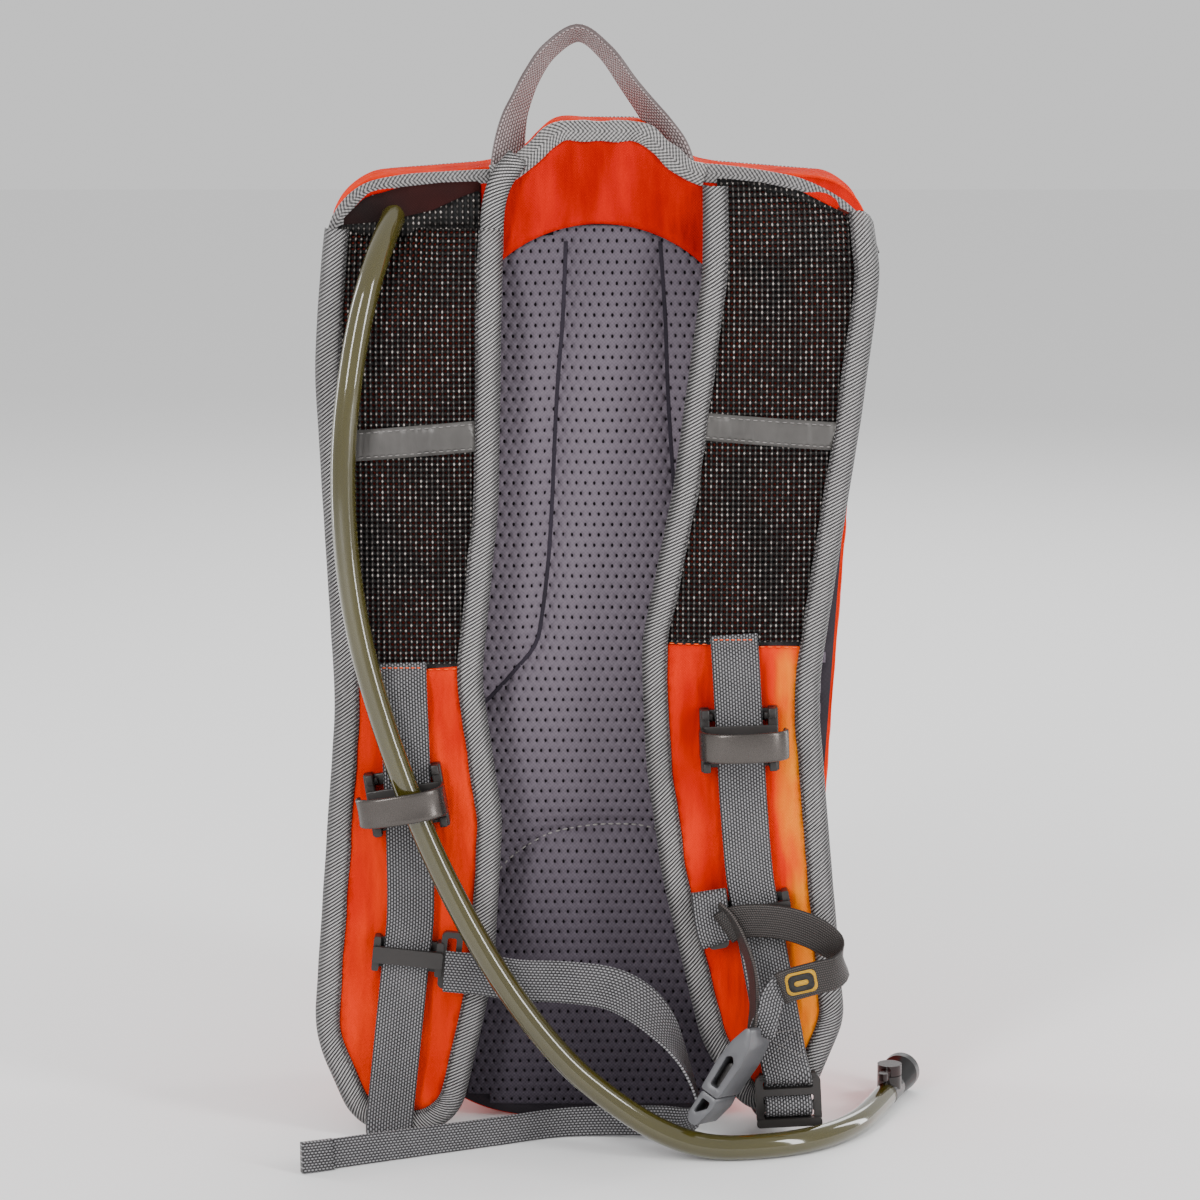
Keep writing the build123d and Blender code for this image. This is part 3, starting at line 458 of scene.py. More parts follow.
def rounded(corners, radii, closed=True, step=2.5):
    """A polygon with rounded corners, as evenly spaced points."""
    corners = np.asarray(corners, float)
    count = len(corners)
    line = []
    for i, corner in enumerate(corners):
        if radii[i] < 0.1 or (not closed and i in (0, count - 1)):
            line.append(corner)
            continue
        back = corners[i - 1] - corner
        on = corners[(i + 1) % count] - corner
        back /= np.linalg.norm(back)
        on /= np.linalg.norm(on)
        half = math.acos(np.clip(back @ on, -1, 1)) / 2
        middle = back + on
        centre = corner + middle / np.linalg.norm(middle) * radii[i] / math.sin(half)
        first = corner + back * radii[i] / math.tan(half) - centre
        last = corner + on * radii[i] / math.tan(half) - centre
        sweep = math.atan2(first[0] * last[1] - first[1] * last[0], first @ last)
        for t in np.linspace(0, sweep, max(3, int(abs(sweep) * radii[i] / step) + 2)):
            c, s = math.cos(t), math.sin(t)
            line.append(centre + (c * first[0] - s * first[1], s * first[0] + c * first[1]))
    return spaced(np.array(line), step, closed)


def normals_2d(line, closed):
    """Left-hand unit normals of a plane line."""
    if closed:
        along = np.roll(line, -1, 0) - np.roll(line, 1, 0)
    else:
        along = np.gradient(line, axis=0)
    along /= np.linalg.norm(along, axis=1)[:, None]
    return np.column_stack([-along[:, 1], along[:, 0]])


def inside(points, outline):
    """Which plane points lie in a closed outline."""
    x, y = points[:, 0], points[:, 1]
    found = np.zeros(len(points), bool)
    for (x0, y0), (x1, y1) in zip(outline, np.roll(outline, -1, 0)):
        if y0 == y1:
            continue
        crossing = ((y0 > y) != (y1 > y)) & (x < (x1 - x0) * (y - y0) / (y1 - y0) + x0)
        found ^= crossing
    return found


def distance_to(points, line, closed=False):
    """Distance from each plane point to a line."""
    ends = np.roll(line, -1, 0) if closed else line[1:]
    starts = line if closed else line[:-1]
    best = np.full(len(points), 1e9)
    for a, b in zip(starts, ends):
        ab = b - a
        t = np.clip(((points - a) @ ab) / max(ab @ ab, 1e-9), 0, 1)
        best = np.minimum(best, np.linalg.norm(points - a - t[:, None] * ab, axis=1))
    return best


def wave(x, y, z=0.0, size=20.0):
    """Smooth noise of about -1 to 1, the same on every run."""
    return noise.noise(Vector((x / size, y / size, z / size + 7.3)))


def make_soft(obj, bevel, segments, angle, harden=False):
    soft = obj.modifiers.new("soft_edges", "BEVEL")
    soft.width = bevel * MM
    soft.segments = segments
    soft.limit_method = "ANGLE"
    soft.angle_limit = math.radians(angle)
    soft.harden_normals = harden


def place_object(name, data, body, replaces=(), slot=None):
    """An object on a CAD body; one without a body is left unattached."""
    obj = put(name, data)
    if replaces:
        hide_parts(*replaces)
    if body:
        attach(obj, body)
    return obj


def piece(name, verts, faces, material, run=None, body="root", replaces=(), slot=None,
          solid=0.0, grow=-1, subdivide=0):
    """A mesh object from points in millimetres; solid thickens it, inwards when grow is -1."""
    mesh = bpy.data.meshes.new(name)
    mesh.from_pydata((np.asarray(verts, float) * MM).tolist(), [], [tuple(f) for f in faces])
    mesh.materials.append(material)
    if run is not None:
        data = mesh.attributes.new("run", "FLOAT_VECTOR", "POINT")
        run = np.column_stack([run, np.zeros(len(run))])
        data.data.foreach_set("vector", run.astype(np.float32).ravel())
    mesh.shade_smooth()
    obj = place_object(name, mesh, body, replaces, slot)
    if solid:
        shell = obj.modifiers.new("thickness", "SOLIDIFY")
        shell.thickness = solid * MM
        shell.offset = grow
    if subdivide:
        finer = obj.modifiers.new("smooth", "SUBSURF")
        finer.levels = finer.render_levels = subdivide
    return obj


def sheet_of_quads(rows, cols, wrap=False):
    """Faces of a grid of points, row by row; wrap joins the last column to the first."""
    faces = []
    for i in range(rows - 1):
        for j in range(cols if wrap else cols - 1):
            k = (j + 1) % cols
            faces.append((i * cols + j, i * cols + k, (i + 1) * cols + k, (i + 1) * cols + j))
    return faces


def capped(rows, cols):
    """Faces of a tube of rings, closed at both ends."""
    last = (rows - 1) * cols
    return [*sheet_of_quads(rows, cols, wrap=True), tuple(range(cols - 1, -1, -1)),
            tuple(range(last, last + cols))]


def swept(name, path, side, up, section, material, closed=False, **where):
    """A closed section carried along a path; side and up are its axes at each point."""
    path, side, up = (np.asarray(a, float) for a in (path, side, up))
    count = len(path)
    run = lengths(path)
    verts = []
    runs = []
    for i in range(count):
        shape = np.asarray(section(i, run[i]) if callable(section) else section, float)
        verts.append(path[i] + shape[:, :1] * side[i] + shape[:, 1:2] * up[i])
        runs.append(np.column_stack([np.full(len(shape), run[i]), shape[:, 0]]))
    size = len(verts[0])
    if closed:
        last = (count - 1) * size
        faces = sheet_of_quads(count, size, wrap=True)
        faces += [(last + j, last + (j + 1) % size, (j + 1) % size, j) for j in range(size)]
    else:
        faces = capped(count, size)
    return piece(name, np.vstack(verts), faces, material, run=np.vstack(runs), **where)


def flat_section(width, thick):
    """A web's section: flat, with soft rounded selvedges."""
    edge = [(-0.5, 0.0), (-0.49, 0.3), (-0.465, 0.46), (-0.42, 0.5), (-0.25, 0.47), (0, 0.5),
            (0.25, 0.47), (0.42, 0.5), (0.465, 0.46), (0.49, 0.3), (0.5, 0.0)]
    back = [(a, -h) for a, h in edge[-2:0:-1]]
    return np.array(edge + back) * (width, thick)


def frames(path, side):
    """Unit side and up vectors at each point, square to the path."""
    along = np.gradient(path, axis=0)
    along /= np.linalg.norm(along, axis=1)[:, None]
    side = side - (side * along).sum(1)[:, None] * along
    side /= np.linalg.norm(side, axis=1)[:, None]
    return side, np.cross(side, along)


def ribbon(name, points, sides, width, thick, material, step=2.0, slot="webbing", **where):
    """A web through control points, with its width along the given side at each point."""
    count = len(points)
    sides = sides if isinstance(sides, list) else [sides] * count
    widths = width if isinstance(width, list) else [width] * count
    line = flowing(np.column_stack([points, sides, widths]), step)
    side, up = frames(line[:, :3], line[:, 3:6])
    return swept(name, line[:, :3], side, up,
                 lambda i, s: flat_section(line[i, 6], thick), material, slot=slot, **where)


def patch(name, outline, spacing, place, material, holes=(), flip=False, **where):
    """Cloth filling a plane outline, each plane point put in space by place(points)."""
    outline = np.asarray(outline, float)
    holes = [np.asarray(h, float) for h in holes]
    low, high = outline.min(0), outline.max(0)
    rows = np.arange(low[1] + spacing / 2, high[1], spacing * 0.87)
    grid = np.array([(x, z) for k, z in enumerate(rows)
                     for x in np.arange(low[0] + (k % 2) * spacing / 2, high[0], spacing)])
    keep = inside(grid, outline) & (distance_to(grid, outline, True) > spacing * 0.5)
    for hole in holes:
        keep &= ~inside(grid, hole) & (distance_to(grid, hole, True) > spacing * 0.5)
    edges = []
    start = 0
    for loop in (outline, *holes):
        edges += [(start + i, start + (i + 1) % len(loop)) for i in range(len(loop))]
        start += len(loop)
    flat = [Vector(p) for p in np.vstack([outline, *holes, grid[keep]])]
    verts, _, faces, *_ = geometry.delaunay_2d_cdt(flat, edges, [], 1, 1e-5)
    verts = np.array(verts)
    for hole in holes:
        middles = np.array([verts[list(f)].mean(0) for f in faces])
        faces = [f for f, cut in zip(faces, inside(middles, hole)) if not cut]
    return piece(name, place(verts), [f[::-1] for f in faces] if flip else faces,
                 material, run=verts, **where)


def perforated(name, outline, pitch, hole, place, material, margin, stagger=0.5, **where):
    """A sheet with rows of oval holes, cut as real openings."""
    low, high = outline.min(0) - margin, outline.max(0)
    ring = np.array([(-1, -1), (0, -1), (1, -1), (1, 0), (1, 1), (0, 1), (-1, 1), (-1, 0)])
    outer = ring * pitch / 2
    inner = np.array([(math.cos(a) * hole[0] / 2, math.sin(a) * hole[1] / 2)
                      for a in np.arctan2(ring[:, 1], ring[:, 0])])
    cells = np.array([(x + (k % 2) * pitch[0] * stagger, z)
                      for k, z in enumerate(np.arange(low[1], high[1], pitch[1]))
                      for x in np.arange(low[0], high[0], pitch[0])])
    edge = distance_to(cells, outline, True)
    keep = np.where(inside(cells, outline), edge, -edge) > margin
    index = {}
    verts = []
    faces = []
    for cell in cells[keep]:
        spots = []
        for p in cell + outer:
            key = (round(p[0] * 4), round(p[1] * 4))
            if key not in index:
                index[key] = len(verts)
                verts.append(p)
            spots.append(index[key])
        first = len(verts)
        verts.extend(cell + inner)
        for k in range(8):
            n = (k + 1) % 8
            faces.append((spots[k], spots[n], first + n, first + k))
    verts = np.array(verts)
    return piece(name, place(verts), faces, material, run=verts - low + np.array(pitch) / 2,
                 **where)


def grains(name, line, normal, rings, material, flip=False, **where):
    """A small rounded grain from each point of a line towards the next.

    rings(place, along, side) gives the middle and two axes of each of a grain's four rings."""
    verts = []
    faces = []
    shape = capped(4, 6)
    for a, b in zip(line[:-1], line[1:]):
        along = (b - a) / np.linalg.norm(b - a)
        first = len(verts)
        for centre, p, q in rings(a, along, np.cross(along, normal)):
            verts += [centre + p * math.cos(t) + q * math.sin(t)
                      for t in np.arange(6) * (math.pi / 3)]
        faces += [tuple(first + k for k in (face[::-1] if flip else face)) for face in shape]
    return piece(name, np.array(verts), faces, material, **where)


def stitches(name, path, normal, material, length=2.4, gap=1.3, thick=0.45, **where):
    """A row of sewn stitches along a path."""
    def rings(place, along, side):
        side = side / np.linalg.norm(side)
        up = np.cross(side, along)
        for t, r in ((0.0, 0.35), (0.25, 1.0), (0.75, 1.0), (1.0, 0.35)):
            centre = place + along * length * t + up * (thick * 0.5 * r - thick * 0.2)
            yield centre, side * r * thick / 2, up * r * thick / 2

    return grains(name, spaced(path, length + gap), normal, rings, material, **where)


def dress(material, *names, bevel):
    """Gives CAD nodes their material and softens their edges."""
    for name in names:
        obj = NODES[name]
        obj.data.materials.clear()
        obj.data.materials.append(material)
        if bevel:
            make_soft(obj, bevel, 2, 35, harden=True)


def outward(outline):
    """Unit normals of a closed outline round the origin, pointing out of it."""
    out = normals_2d(outline, True)
    grows = ((outline + out * 3)[:, 0] ** 2).sum() > (outline[:, 0] ** 2).sum()
    return out if grows else -out


def folds(points, *layers):
    """Noise over plane points: layers of (x scale, z scale, phase, size, height)."""
    return np.array([sum(wave(x * a, z * b, phase, size) * high
                         for a, b, phase, size, high in layers) for x, z in points])


# ---------------------------------------------------------------- hose and valve

# In metres
HOSE_ROUTE = [
    (-0.086, -0.0022, 0.394), (-0.0925, -0.0285, 0.3785), (-0.101, -0.0445, 0.345),
    (-0.1075, -0.046, 0.292), (-0.1035, -0.046, 0.232), (-0.089, -0.0472, 0.1775),
    (-0.0695, -0.0485, 0.126), (-0.045, -0.053, 0.0795), (-0.017, -0.0575, 0.0425),
    (0.006, -0.0595, 0.0235), (0.026, -0.062, 0.0113), (0.046, -0.064, 0.00525),
    (0.070, -0.0615, 0.00525), (0.092, -0.0515, 0.00525), (0.109, -0.0325, 0.00525),
    (0.1185, -0.011, 0.00525), (0.125, 0.008, 0.00525),
]
HOSE = 0.0105
HOSE_BORE = 0.0064
SHOCK = 0.003


def tube_along(name, route, diameter, material, slot, replaces=()):
    """A smooth tube on a route in metres."""
    curve = bpy.data.curves.new(name, "CURVE")
    curve.dimensions = "3D"
    curve.bevel_depth = diameter / 2
    curve.bevel_resolution = 8
    curve.resolution_u = 10
    curve.use_fill_caps = True
    spline = curve.splines.new("NURBS")
    spline.points.add(len(route) - 1)
    for point, place in zip(spline.points, route):
        point.co = (*place, 1)
    spline.order_u = 3
    spline.use_endpoint_u = True
    curve.materials.append(material)
    return place_object(name, curve, "root", replaces, slot)


def make_hose(m):
    hose = tube_along("hose", HOSE_ROUTE, HOSE, m["hose"], "hose", ["drink_tube"])
    bore = tube_along("hose_bore", HOSE_ROUTE, HOSE_BORE, m["bore"], "hose")
    dress(m["valve_clear"], "valve_collar", bevel=0.3)
    dress(m["valve"], "valve_body", bevel=0.4)
    dress(m["lever"], "shutoff_lever", bevel=0.4)
    dress(m["rubber"], "mouthpiece", bevel=0.5)
    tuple(HOSE_ROUTE[0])


# ---------------------------------------------------------------- bag

BASE_DEPTH = 74.0
TOP_DEPTH = 46.0
BAG_TOP = 431.0
SLOPE = (BASE_DEPTH - TOP_DEPTH) / BAG_TOP
TILT = math.atan(SLOPE)
FACE_NORMAL = np.array((0, math.cos(TILT), math.sin(TILT)))
BAG_CORNERS = [
    (-90, 0), (90, 0), (95, 120), (102, 230), (114, 407), (38, 413),
    (18, BAG_TOP), (-18, BAG_TOP), (-38, 413), (-114, 407), (-102, 230), (-95, 120),
]
BAG_RADII = [64, 64, 150, 200, 24, 20, 10, 10, 20, 24, 200, 150]
YOKE_RADIUS = 66.0
YOKE_CENTRE = 327.0
YOKE_SEAM = 3.0             # the panel and yoke each lap the yoke's arc by this
PANEL_INSET = 0.8


def on_face(points, height):
    """Points on the bag's outer face: x to the right from behind, v up it, height off it."""
    points = np.asarray(points, float)
    flat = np.column_stack([-points[:, 0], BASE_DEPTH - points[:, 1] * math.sin(TILT),
                            points[:, 1] * math.cos(TILT)])
    return flat + FACE_NORMAL * (np.zeros(len(points)) + height)[:, None]


def bag_depth(z):
    return BASE_DEPTH - SLOPE * z


def make_bag(m):
    cloth = {"slot": "orange_cloth", "solid": 1.2}
    outline = rounded(BAG_CORNERS, BAG_RADII, step=3.0)
    out = outward(outline)
    rows = 22
    verts, runs = [], []
    for t in np.arange(rows) / (rows - 1):
        swell = math.sin(math.pi * t)
        for (x, z), n, s in zip(outline, out, lengths(outline)):
            depth = bag_depth(z)
            fold = wave(s, t * 46, 3.0, 26) * 2.2 + wave(s, t * 90, 9.0, 12) * 1.1
            low = max(0.0, 1 - z / 90.0)
            bulge = swell * (0.8 + fold * (1 - 0.5 * low)) - 0.4
            verts.append((x + n[0] * bulge * (1 - low * 0.8), t * depth,
                          z + n[1] * bulge * (1 - low) + low * 0.2))
            runs.append((s, t * depth))
    piece("bag_sides", verts, sheet_of_quads(rows, len(outline), wrap=True), m["orange"],
          run=runs, replaces=["gusset"], subdivide=1, **cloth)
    patch("bag_rear", outline, 9.0, lambda points: upright(points, 0.0), m["orange"],
          replaces=["rear_wall"], **cloth)

    def outer(points):
        edge = distance_to(points, outline, True)
        sloped = points / (1, math.cos(TILT))
        zip_gap = np.abs(np.hypot(sloped[:, 0], sloped[:, 1] - ZIP_MIDDLE) - ZIP_RADIUS)
        calm = np.clip((zip_gap - 12) / 16, 0, 1) * np.clip((edge - 4) / 20, 0, 1)
        drop = folds(points, (1, 0.6, 1.0, 34, 2.2), (1, 1, 5.0, 14, 1.2))
        return on_face(sloped, -np.maximum(0, drop + 2.2) * calm)

    patch("bag_outer", outline, 5.0, outer, m["orange"], replaces=["outer_wall"], **cloth)
    ring = upright(outline, bag_depth(outline[:, 1]) + 0.1)
    side = np.column_stack([out[:, 0], -out[:, 1] * math.sin(TILT), out[:, 1] * math.cos(TILT)])
    swept("outer_welt", ring, side, np.tile(FACE_NORMAL, (len(outline), 1)),
          arc(-0.6, 0, 1.7, 0, 360, 11)[:-1], m["binding"], closed=True,
          replaces=["outer_piping"], slot="binding_tape")
    return outline


# ---------------------------------------------------------------- back panel and yoke

LEFT_GROOVE = [(-14.3, 382.5), (-15.6, 351), (-18.2, 317.5), (-21.3, 255.4), (-25.2, 220),
               (-28.2, 209.4), (-35.1, 200.7), (-42.4, 192.4), (-50.2, 184.5), (-62, 176)]
RIGHT_GROOVE = [(25.2, 382.5), (27.4, 351), (29.2, 309), (33, 262), (39, 222), (50, 196),
                (62, 180)]
LOW_GROOVE = [(44, 122), (22.9, 130), (10.4, 131.7), (-3, 131.3), (-16.4, 129.1), (-25, 126),
              (-39.3, 116.2), (-52, 100)]


def closed_by_arc(part, radius, count, step):
    """What a cut leaves of the bag's outline, closed along an arc of the yoke."""
    cut = np.argmax(np.diff(np.r_[part[:, 0], part[0, 0]]) ** 2)
    part = np.roll(part, -cut - 1, 0)
    seam = arc(0, YOKE_CENTRE, radius, 0, 180, count)
    return spaced(np.vstack([part, seam if part[-1, 0] > 0 else seam[::-1]]), step, True)


def make_panel(m, outline):
    grooves = [flowing(upright(g, 0), 4.0)[:, ::2]
               for g in (LEFT_GROOVE, RIGHT_GROOVE, LOW_GROOVE)]
    inner = outline - outward(outline) * PANEL_INSET
    shape = closed_by_arc(inner[inner[:, 1] < YOKE_CENTRE], YOKE_RADIUS + YOKE_SEAM, 60, 3.0)

    def puffed(base):
        def place(points):
            near = np.minimum.reduce([distance_to(points, g) for g in grooves])
            edge = distance_to(points, shape, True)
            rise = 4.6 * (1 - np.exp(-(near / 6.0) ** 1.1)) * (1 - np.exp(-edge / 9))
            wide = folds(points, (1, 1, 2.0, 60, 0.5)) * (1 - np.exp(-edge / 12))
            return upright(points, -base - rise - wide)
        return place

    face = puffed(4.9)
    panel = perforated("back_panel_face", shape, (3.8, 4.45), (1.15, 1.75), face, m["panel"],
                       margin=5.0, replaces=["back_panel_mesh"], slot="panel_mesh", solid=0.8)
    pad = patch("back_panel_pad", shape, 6.0, puffed(3.6), m["foam"],
                replaces=["back_panel_foam"], slot="foam", solid=2.8)
    for name, groove in zip(("left", "right", "low"), grooves):
        at = face(groove) - (0, 0.15, 0)
        # Painted shade: a dark strip laid along the left and right grooves, where the crease is in
        # shadow.
        if name != "low":
            side, up = frames(at, np.tile((1.0, 0, 0), (len(at), 1)))
            swept(f"groove_shade_{name}", at - (0, 0.05, 0), side, up, flat_section(1.7, 1.1),
                  m["seam_dark"], slot="panel_mesh")
        thread = m["thread_pale" if name == "low" else "thread_dark"]
        stitches(f"groove_stitch_{name}", at, BACKWARD, thread, 2.4, 0.9, 0.7, slot="panel_mesh")


def make_yoke(m, outline):
    shape = closed_by_arc(outline[outline[:, 1] > 300], YOKE_RADIUS - YOKE_SEAM, 50, 2.5)
    slot_hole = np.vstack([arc(-79.5, 394, 8.5, -90, 90, 9), arc(-92.5, 394, 8.5, 90, 270, 9)])

    def yoke(points, lift=0.0):
        edge = distance_to(points, shape, True)
        from_centre = np.hypot(points[:, 0], points[:, 1] - YOKE_CENTRE)
        arc_gap = np.abs(from_centre - YOKE_RADIUS + YOKE_SEAM)
        puff = 4.4 * (1 - np.exp(-edge / 10)) + 6.4 * np.exp(-(arc_gap / 7) ** 2)
        crease = np.array([wave(x, z * 0.4, 4.0, 17) * 3.0 + wave(x + z * 0.5, z, 8.0, 9) * 1.1
                           for x, z in points])
        return upright(points, -2.0 - puff - crease * np.clip(edge / 14, 0, 1) - lift)

    patch("yoke_cloth", shape, 3.0, yoke, m["orange_deep"], holes=[slot_hole],
          replaces=["yoke_panel"], slot="orange_cloth", solid=0.9)
    # slot_shadow is painted shade, a dark red sheet on the yoke round the port.
    for name, corners, lift, paint in (
            ("slot_shadow", [(-113, 384), (-50, 384), (-50, 407.5), (-66, 407), (-84, 405),
                             (-99, 400.5), (-108.5, 391)], 0.7, "port"),
            ("slot_mesh", [(-112, 383), (-50, 383), (-50, 404), (-58, 401), (-70, 395.5),
                           (-90, 391), (-110, 389)], 1.2, "mesh"),
            ("slot_mesh_right", [(49, 396), (49, 409), (68, 407), (84, 403.5), (99, 396),
                                 (108, 387), (113, 377), (100, 384), (80, 392)], 1.2, "mesh")):
        patch(name, spaced(corners, 2.5, True), 3.0, partial(yoke, lift=lift), m[paint],
              slot="black_mesh", solid=0.3)
    ribbon("left_binding_root",
           [(-45.3, -13.6, 378), (-45.2, -12.0, 385), (-45.0, -11.2, 392), (-44.2, -10.6, 399),
            (-42.0, -9.6, 406.5), (-38.4, -7.6, 412.5), (-34.5, -5.2, 417)],
           [(1, 0, 0), (1, 0, 0), (1, 0, 0.04), (1, 0, -0.1), (0.95, 0, -0.35), (0.85, 0, -0.6),
            (0.8, 0, -0.7)], 10.0, 3.4, m["binding"], slot="binding_tape")
    # Painted shade: a dark red sheet inside the port's hole.
    patch("port_hole_painted_shade", spaced(slot_hole, 2.0, True), 3.0,
          lambda points: upright(points, -0.7), m["port"], slot="lining", solid=0.5)
    rim = upright(slot_hole, -3.0)
    stitches("port_stitch", np.vstack([rim, rim[:1]]), BACKWARD, m["thread_pale"],
             slot="orange_cloth")


def make_top_edge(m, outline):
    path = outline[(outline[:, 1] > 398) & (np.abs(outline[:, 0]) < 46)]
    path = spaced(path[np.argsort(path[:, 0])], 6.0)
    path = flowing(upright(path, -1.8) - (0, 0, 2.6), 2.0)
    side, up = frames(path, np.tile((0, 0, 1.0), (len(path), 1)))

    def puckered(i, s):
        pinch = 1 + 0.05 * math.sin(s / 2.2) + 0.10 * wave(s, 0, 1.0, 9)
        return flat_section(9.0, 6.4) * (pinch, 1.0) + (0.5 * wave(s, 4, 2.0, 12),
                                                        0.4 * math.sin(s / 1.9))

    swept("top_binding", path, side, up, puckered, m["herringbone"],
          replaces=["top_edge_binding"], slot="binding_tape")
    tapes = {"left": ([(-46, 409.5), (-66, 408.5), (-84, 407), (-99, 403), (-109, 393),
                       (-113, 380)], 6.0),
             "right": ([(42, 411), (52, 410.2), (68, 408), (84, 404.5), (99, 397), (109, 387),
                        (114, 376)], 8.0)}
    for hand, (line, wide) in tapes.items():
        ribbon(f"yoke_tape_{hand}", upright(line, -3.0), (0, 0, 1), wide, 1.6, m["seam_tape"],
               replaces=["yoke_tapes"], slot="binding_tape")


# ---------------------------------------------------------------- shoulder straps

BEND_Y = 30.0
REAR_LIMIT = 31.8           # a strap ends this far in front of the bend's axis
CORE_BACK = 56.6            # distances from that axis
CORE_FRONT = 62.0
CLOTH_FRONT = 63.2
BINDING_FRONT = 64.0
CLOTH_EDGE = 9.0            # the cloth starts this far in from the strap's outline
BINDING_WIDTH = 10.0
WEB = 20.0
WEB_THICK = 1.6
WEB_MIDDLE = -38.2


def ease(value, low, high):
    t = np.clip((np.asarray(value, float) - low) / (high - low), 0, 1)
    return t * t * (3 - 2 * t)


def left_bend(x):
    """Height where the left strap starts to curve back; it dips where the hose crosses it."""
    return 333.0 + 9.0 * ease(x, -84, -66) + 5.0 * ease(-np.asarray(x), 97, 112)


def right_bend(x):
    return 348.0 + 0.3 * (82.0 - np.asarray(x, float))


# Each strap's outline and corner radii, the height and lean of the seam between its mesh and
# cloth, its webbing's line, its reflector's corners and its materials
STRAPS = {
    "left": {
        "corners": [(-40, 440), (-43, 275), (-50.5, 200), (-42, 140), (-46, 72), (-62, 2),
                    (-104, 2), (-122, 45), (-111, 190), (-118, 330), (-112, 440)],
        "radii": [0, 200, 80, 60, 120, 22, 24, 60, 200, 200, 0],
        "bend": left_bend, "seam": (205.5, 2.0),
        "web": [(-83.0, 208), (-79.5, 108), (-90.5, 6)],
        "strip": [(-130, 304), (-30, 312), (-30, 299), (-130, 291)],
        "phase": 3, "tape": "binding", "cloth": "orange"},
    "right": {
        "corners": [(44, 440), (43, 370), (31, 280), (18, 215), (20, 165), (27, 115), (44, 42),
                    (62, 12), (88, 12), (104, 52), (91, 195), (108, 310), (116, 372), (110, 440)],
        "radii": [0, 100, 150, 80, 150, 200, 60, 16, 18, 28, 160, 150, 40, 0],
        "bend": right_bend, "seam": (216.0, -2.0),
        "web": [(56.2, 220), (62.0, 124), (79.0, 33)],
        "strip": [(30, 314.5), (120, 308), (120, 296), (30, 303)],
        "phase": 40, "tape": "binding_right", "cloth": "orange_warm"},
}
# Round the bound edge: how far in from the strap's outline, and how far from the bend's axis
BINDING = [(10.0, 62.6), (9.4, 63.5), (7.5, 64.0), (5.0, 64.15), (2.5, 63.9), (0.6, 63.0),
           (-0.5, 61.4), (-0.7, 59.8), (-0.4, 58.0), (0.6, 56.5), (2.5, 55.7), (5.0, 55.5),
           (7.5, 55.7), (9.6, 56.4), (10.0, 57.4)]


def bent(points, d, bend_at):
    """Strap points at distance d from the bend's axis; above the bend they curve back."""
    x, z = points[:, 0], points[:, 1]
    d = np.zeros(len(points)) + d
    bend = bend_at(x)
    most = np.sqrt(np.maximum(d ** 2 - REAR_LIMIT ** 2, 0))
    rise = np.minimum(np.maximum(z - bend, 0), most)
    y = BEND_Y - np.sqrt(d ** 2 - rise ** 2)
    return np.column_stack([x, y, np.where(z > bend, bend + rise, z)])


def make_binding(m, side, strap, line, inward):
    """The bound edge; gives the line that the strap's cloth runs to."""
    verts, runs = [], []
    for (x, z), n, s in zip(line, inward, lengths(line)):
        wobble = 0.35 * wave(s, strap["phase"], 1.0, 14)
        for t, d in BINDING:
            at = t + (wobble * 1.6 if t > 5 else wobble * 0.4)
            d += 0.25 * math.sin(s / 1.7) * wave(s, 9, 1, 20) if 1 < t < 9 else 0
            verts.append(bent(np.array([(x + n[0] * at, z + n[1] * at)]), d, strap["bend"])[0])
            runs.append((s, t - BINDING_WIDTH / 2))
    faces = [face[::-1] for face in capped(len(line), len(BINDING))]
    piece(f"{side}_binding", verts, faces, m[strap["tape"]], run=runs,
          replaces=[f"{side}_strap_binding"], slot="binding_tape")
    edge = line + inward * CLOTH_EDGE
    stitches(f"{side}_binding_stitch", bent(edge, BINDING_FRONT, strap["bend"]), BACKWARD,
             m["thread_dark"], 2.2, 1.4, 0.4, slot="binding_tape")
    return spaced(edge, 2.5)


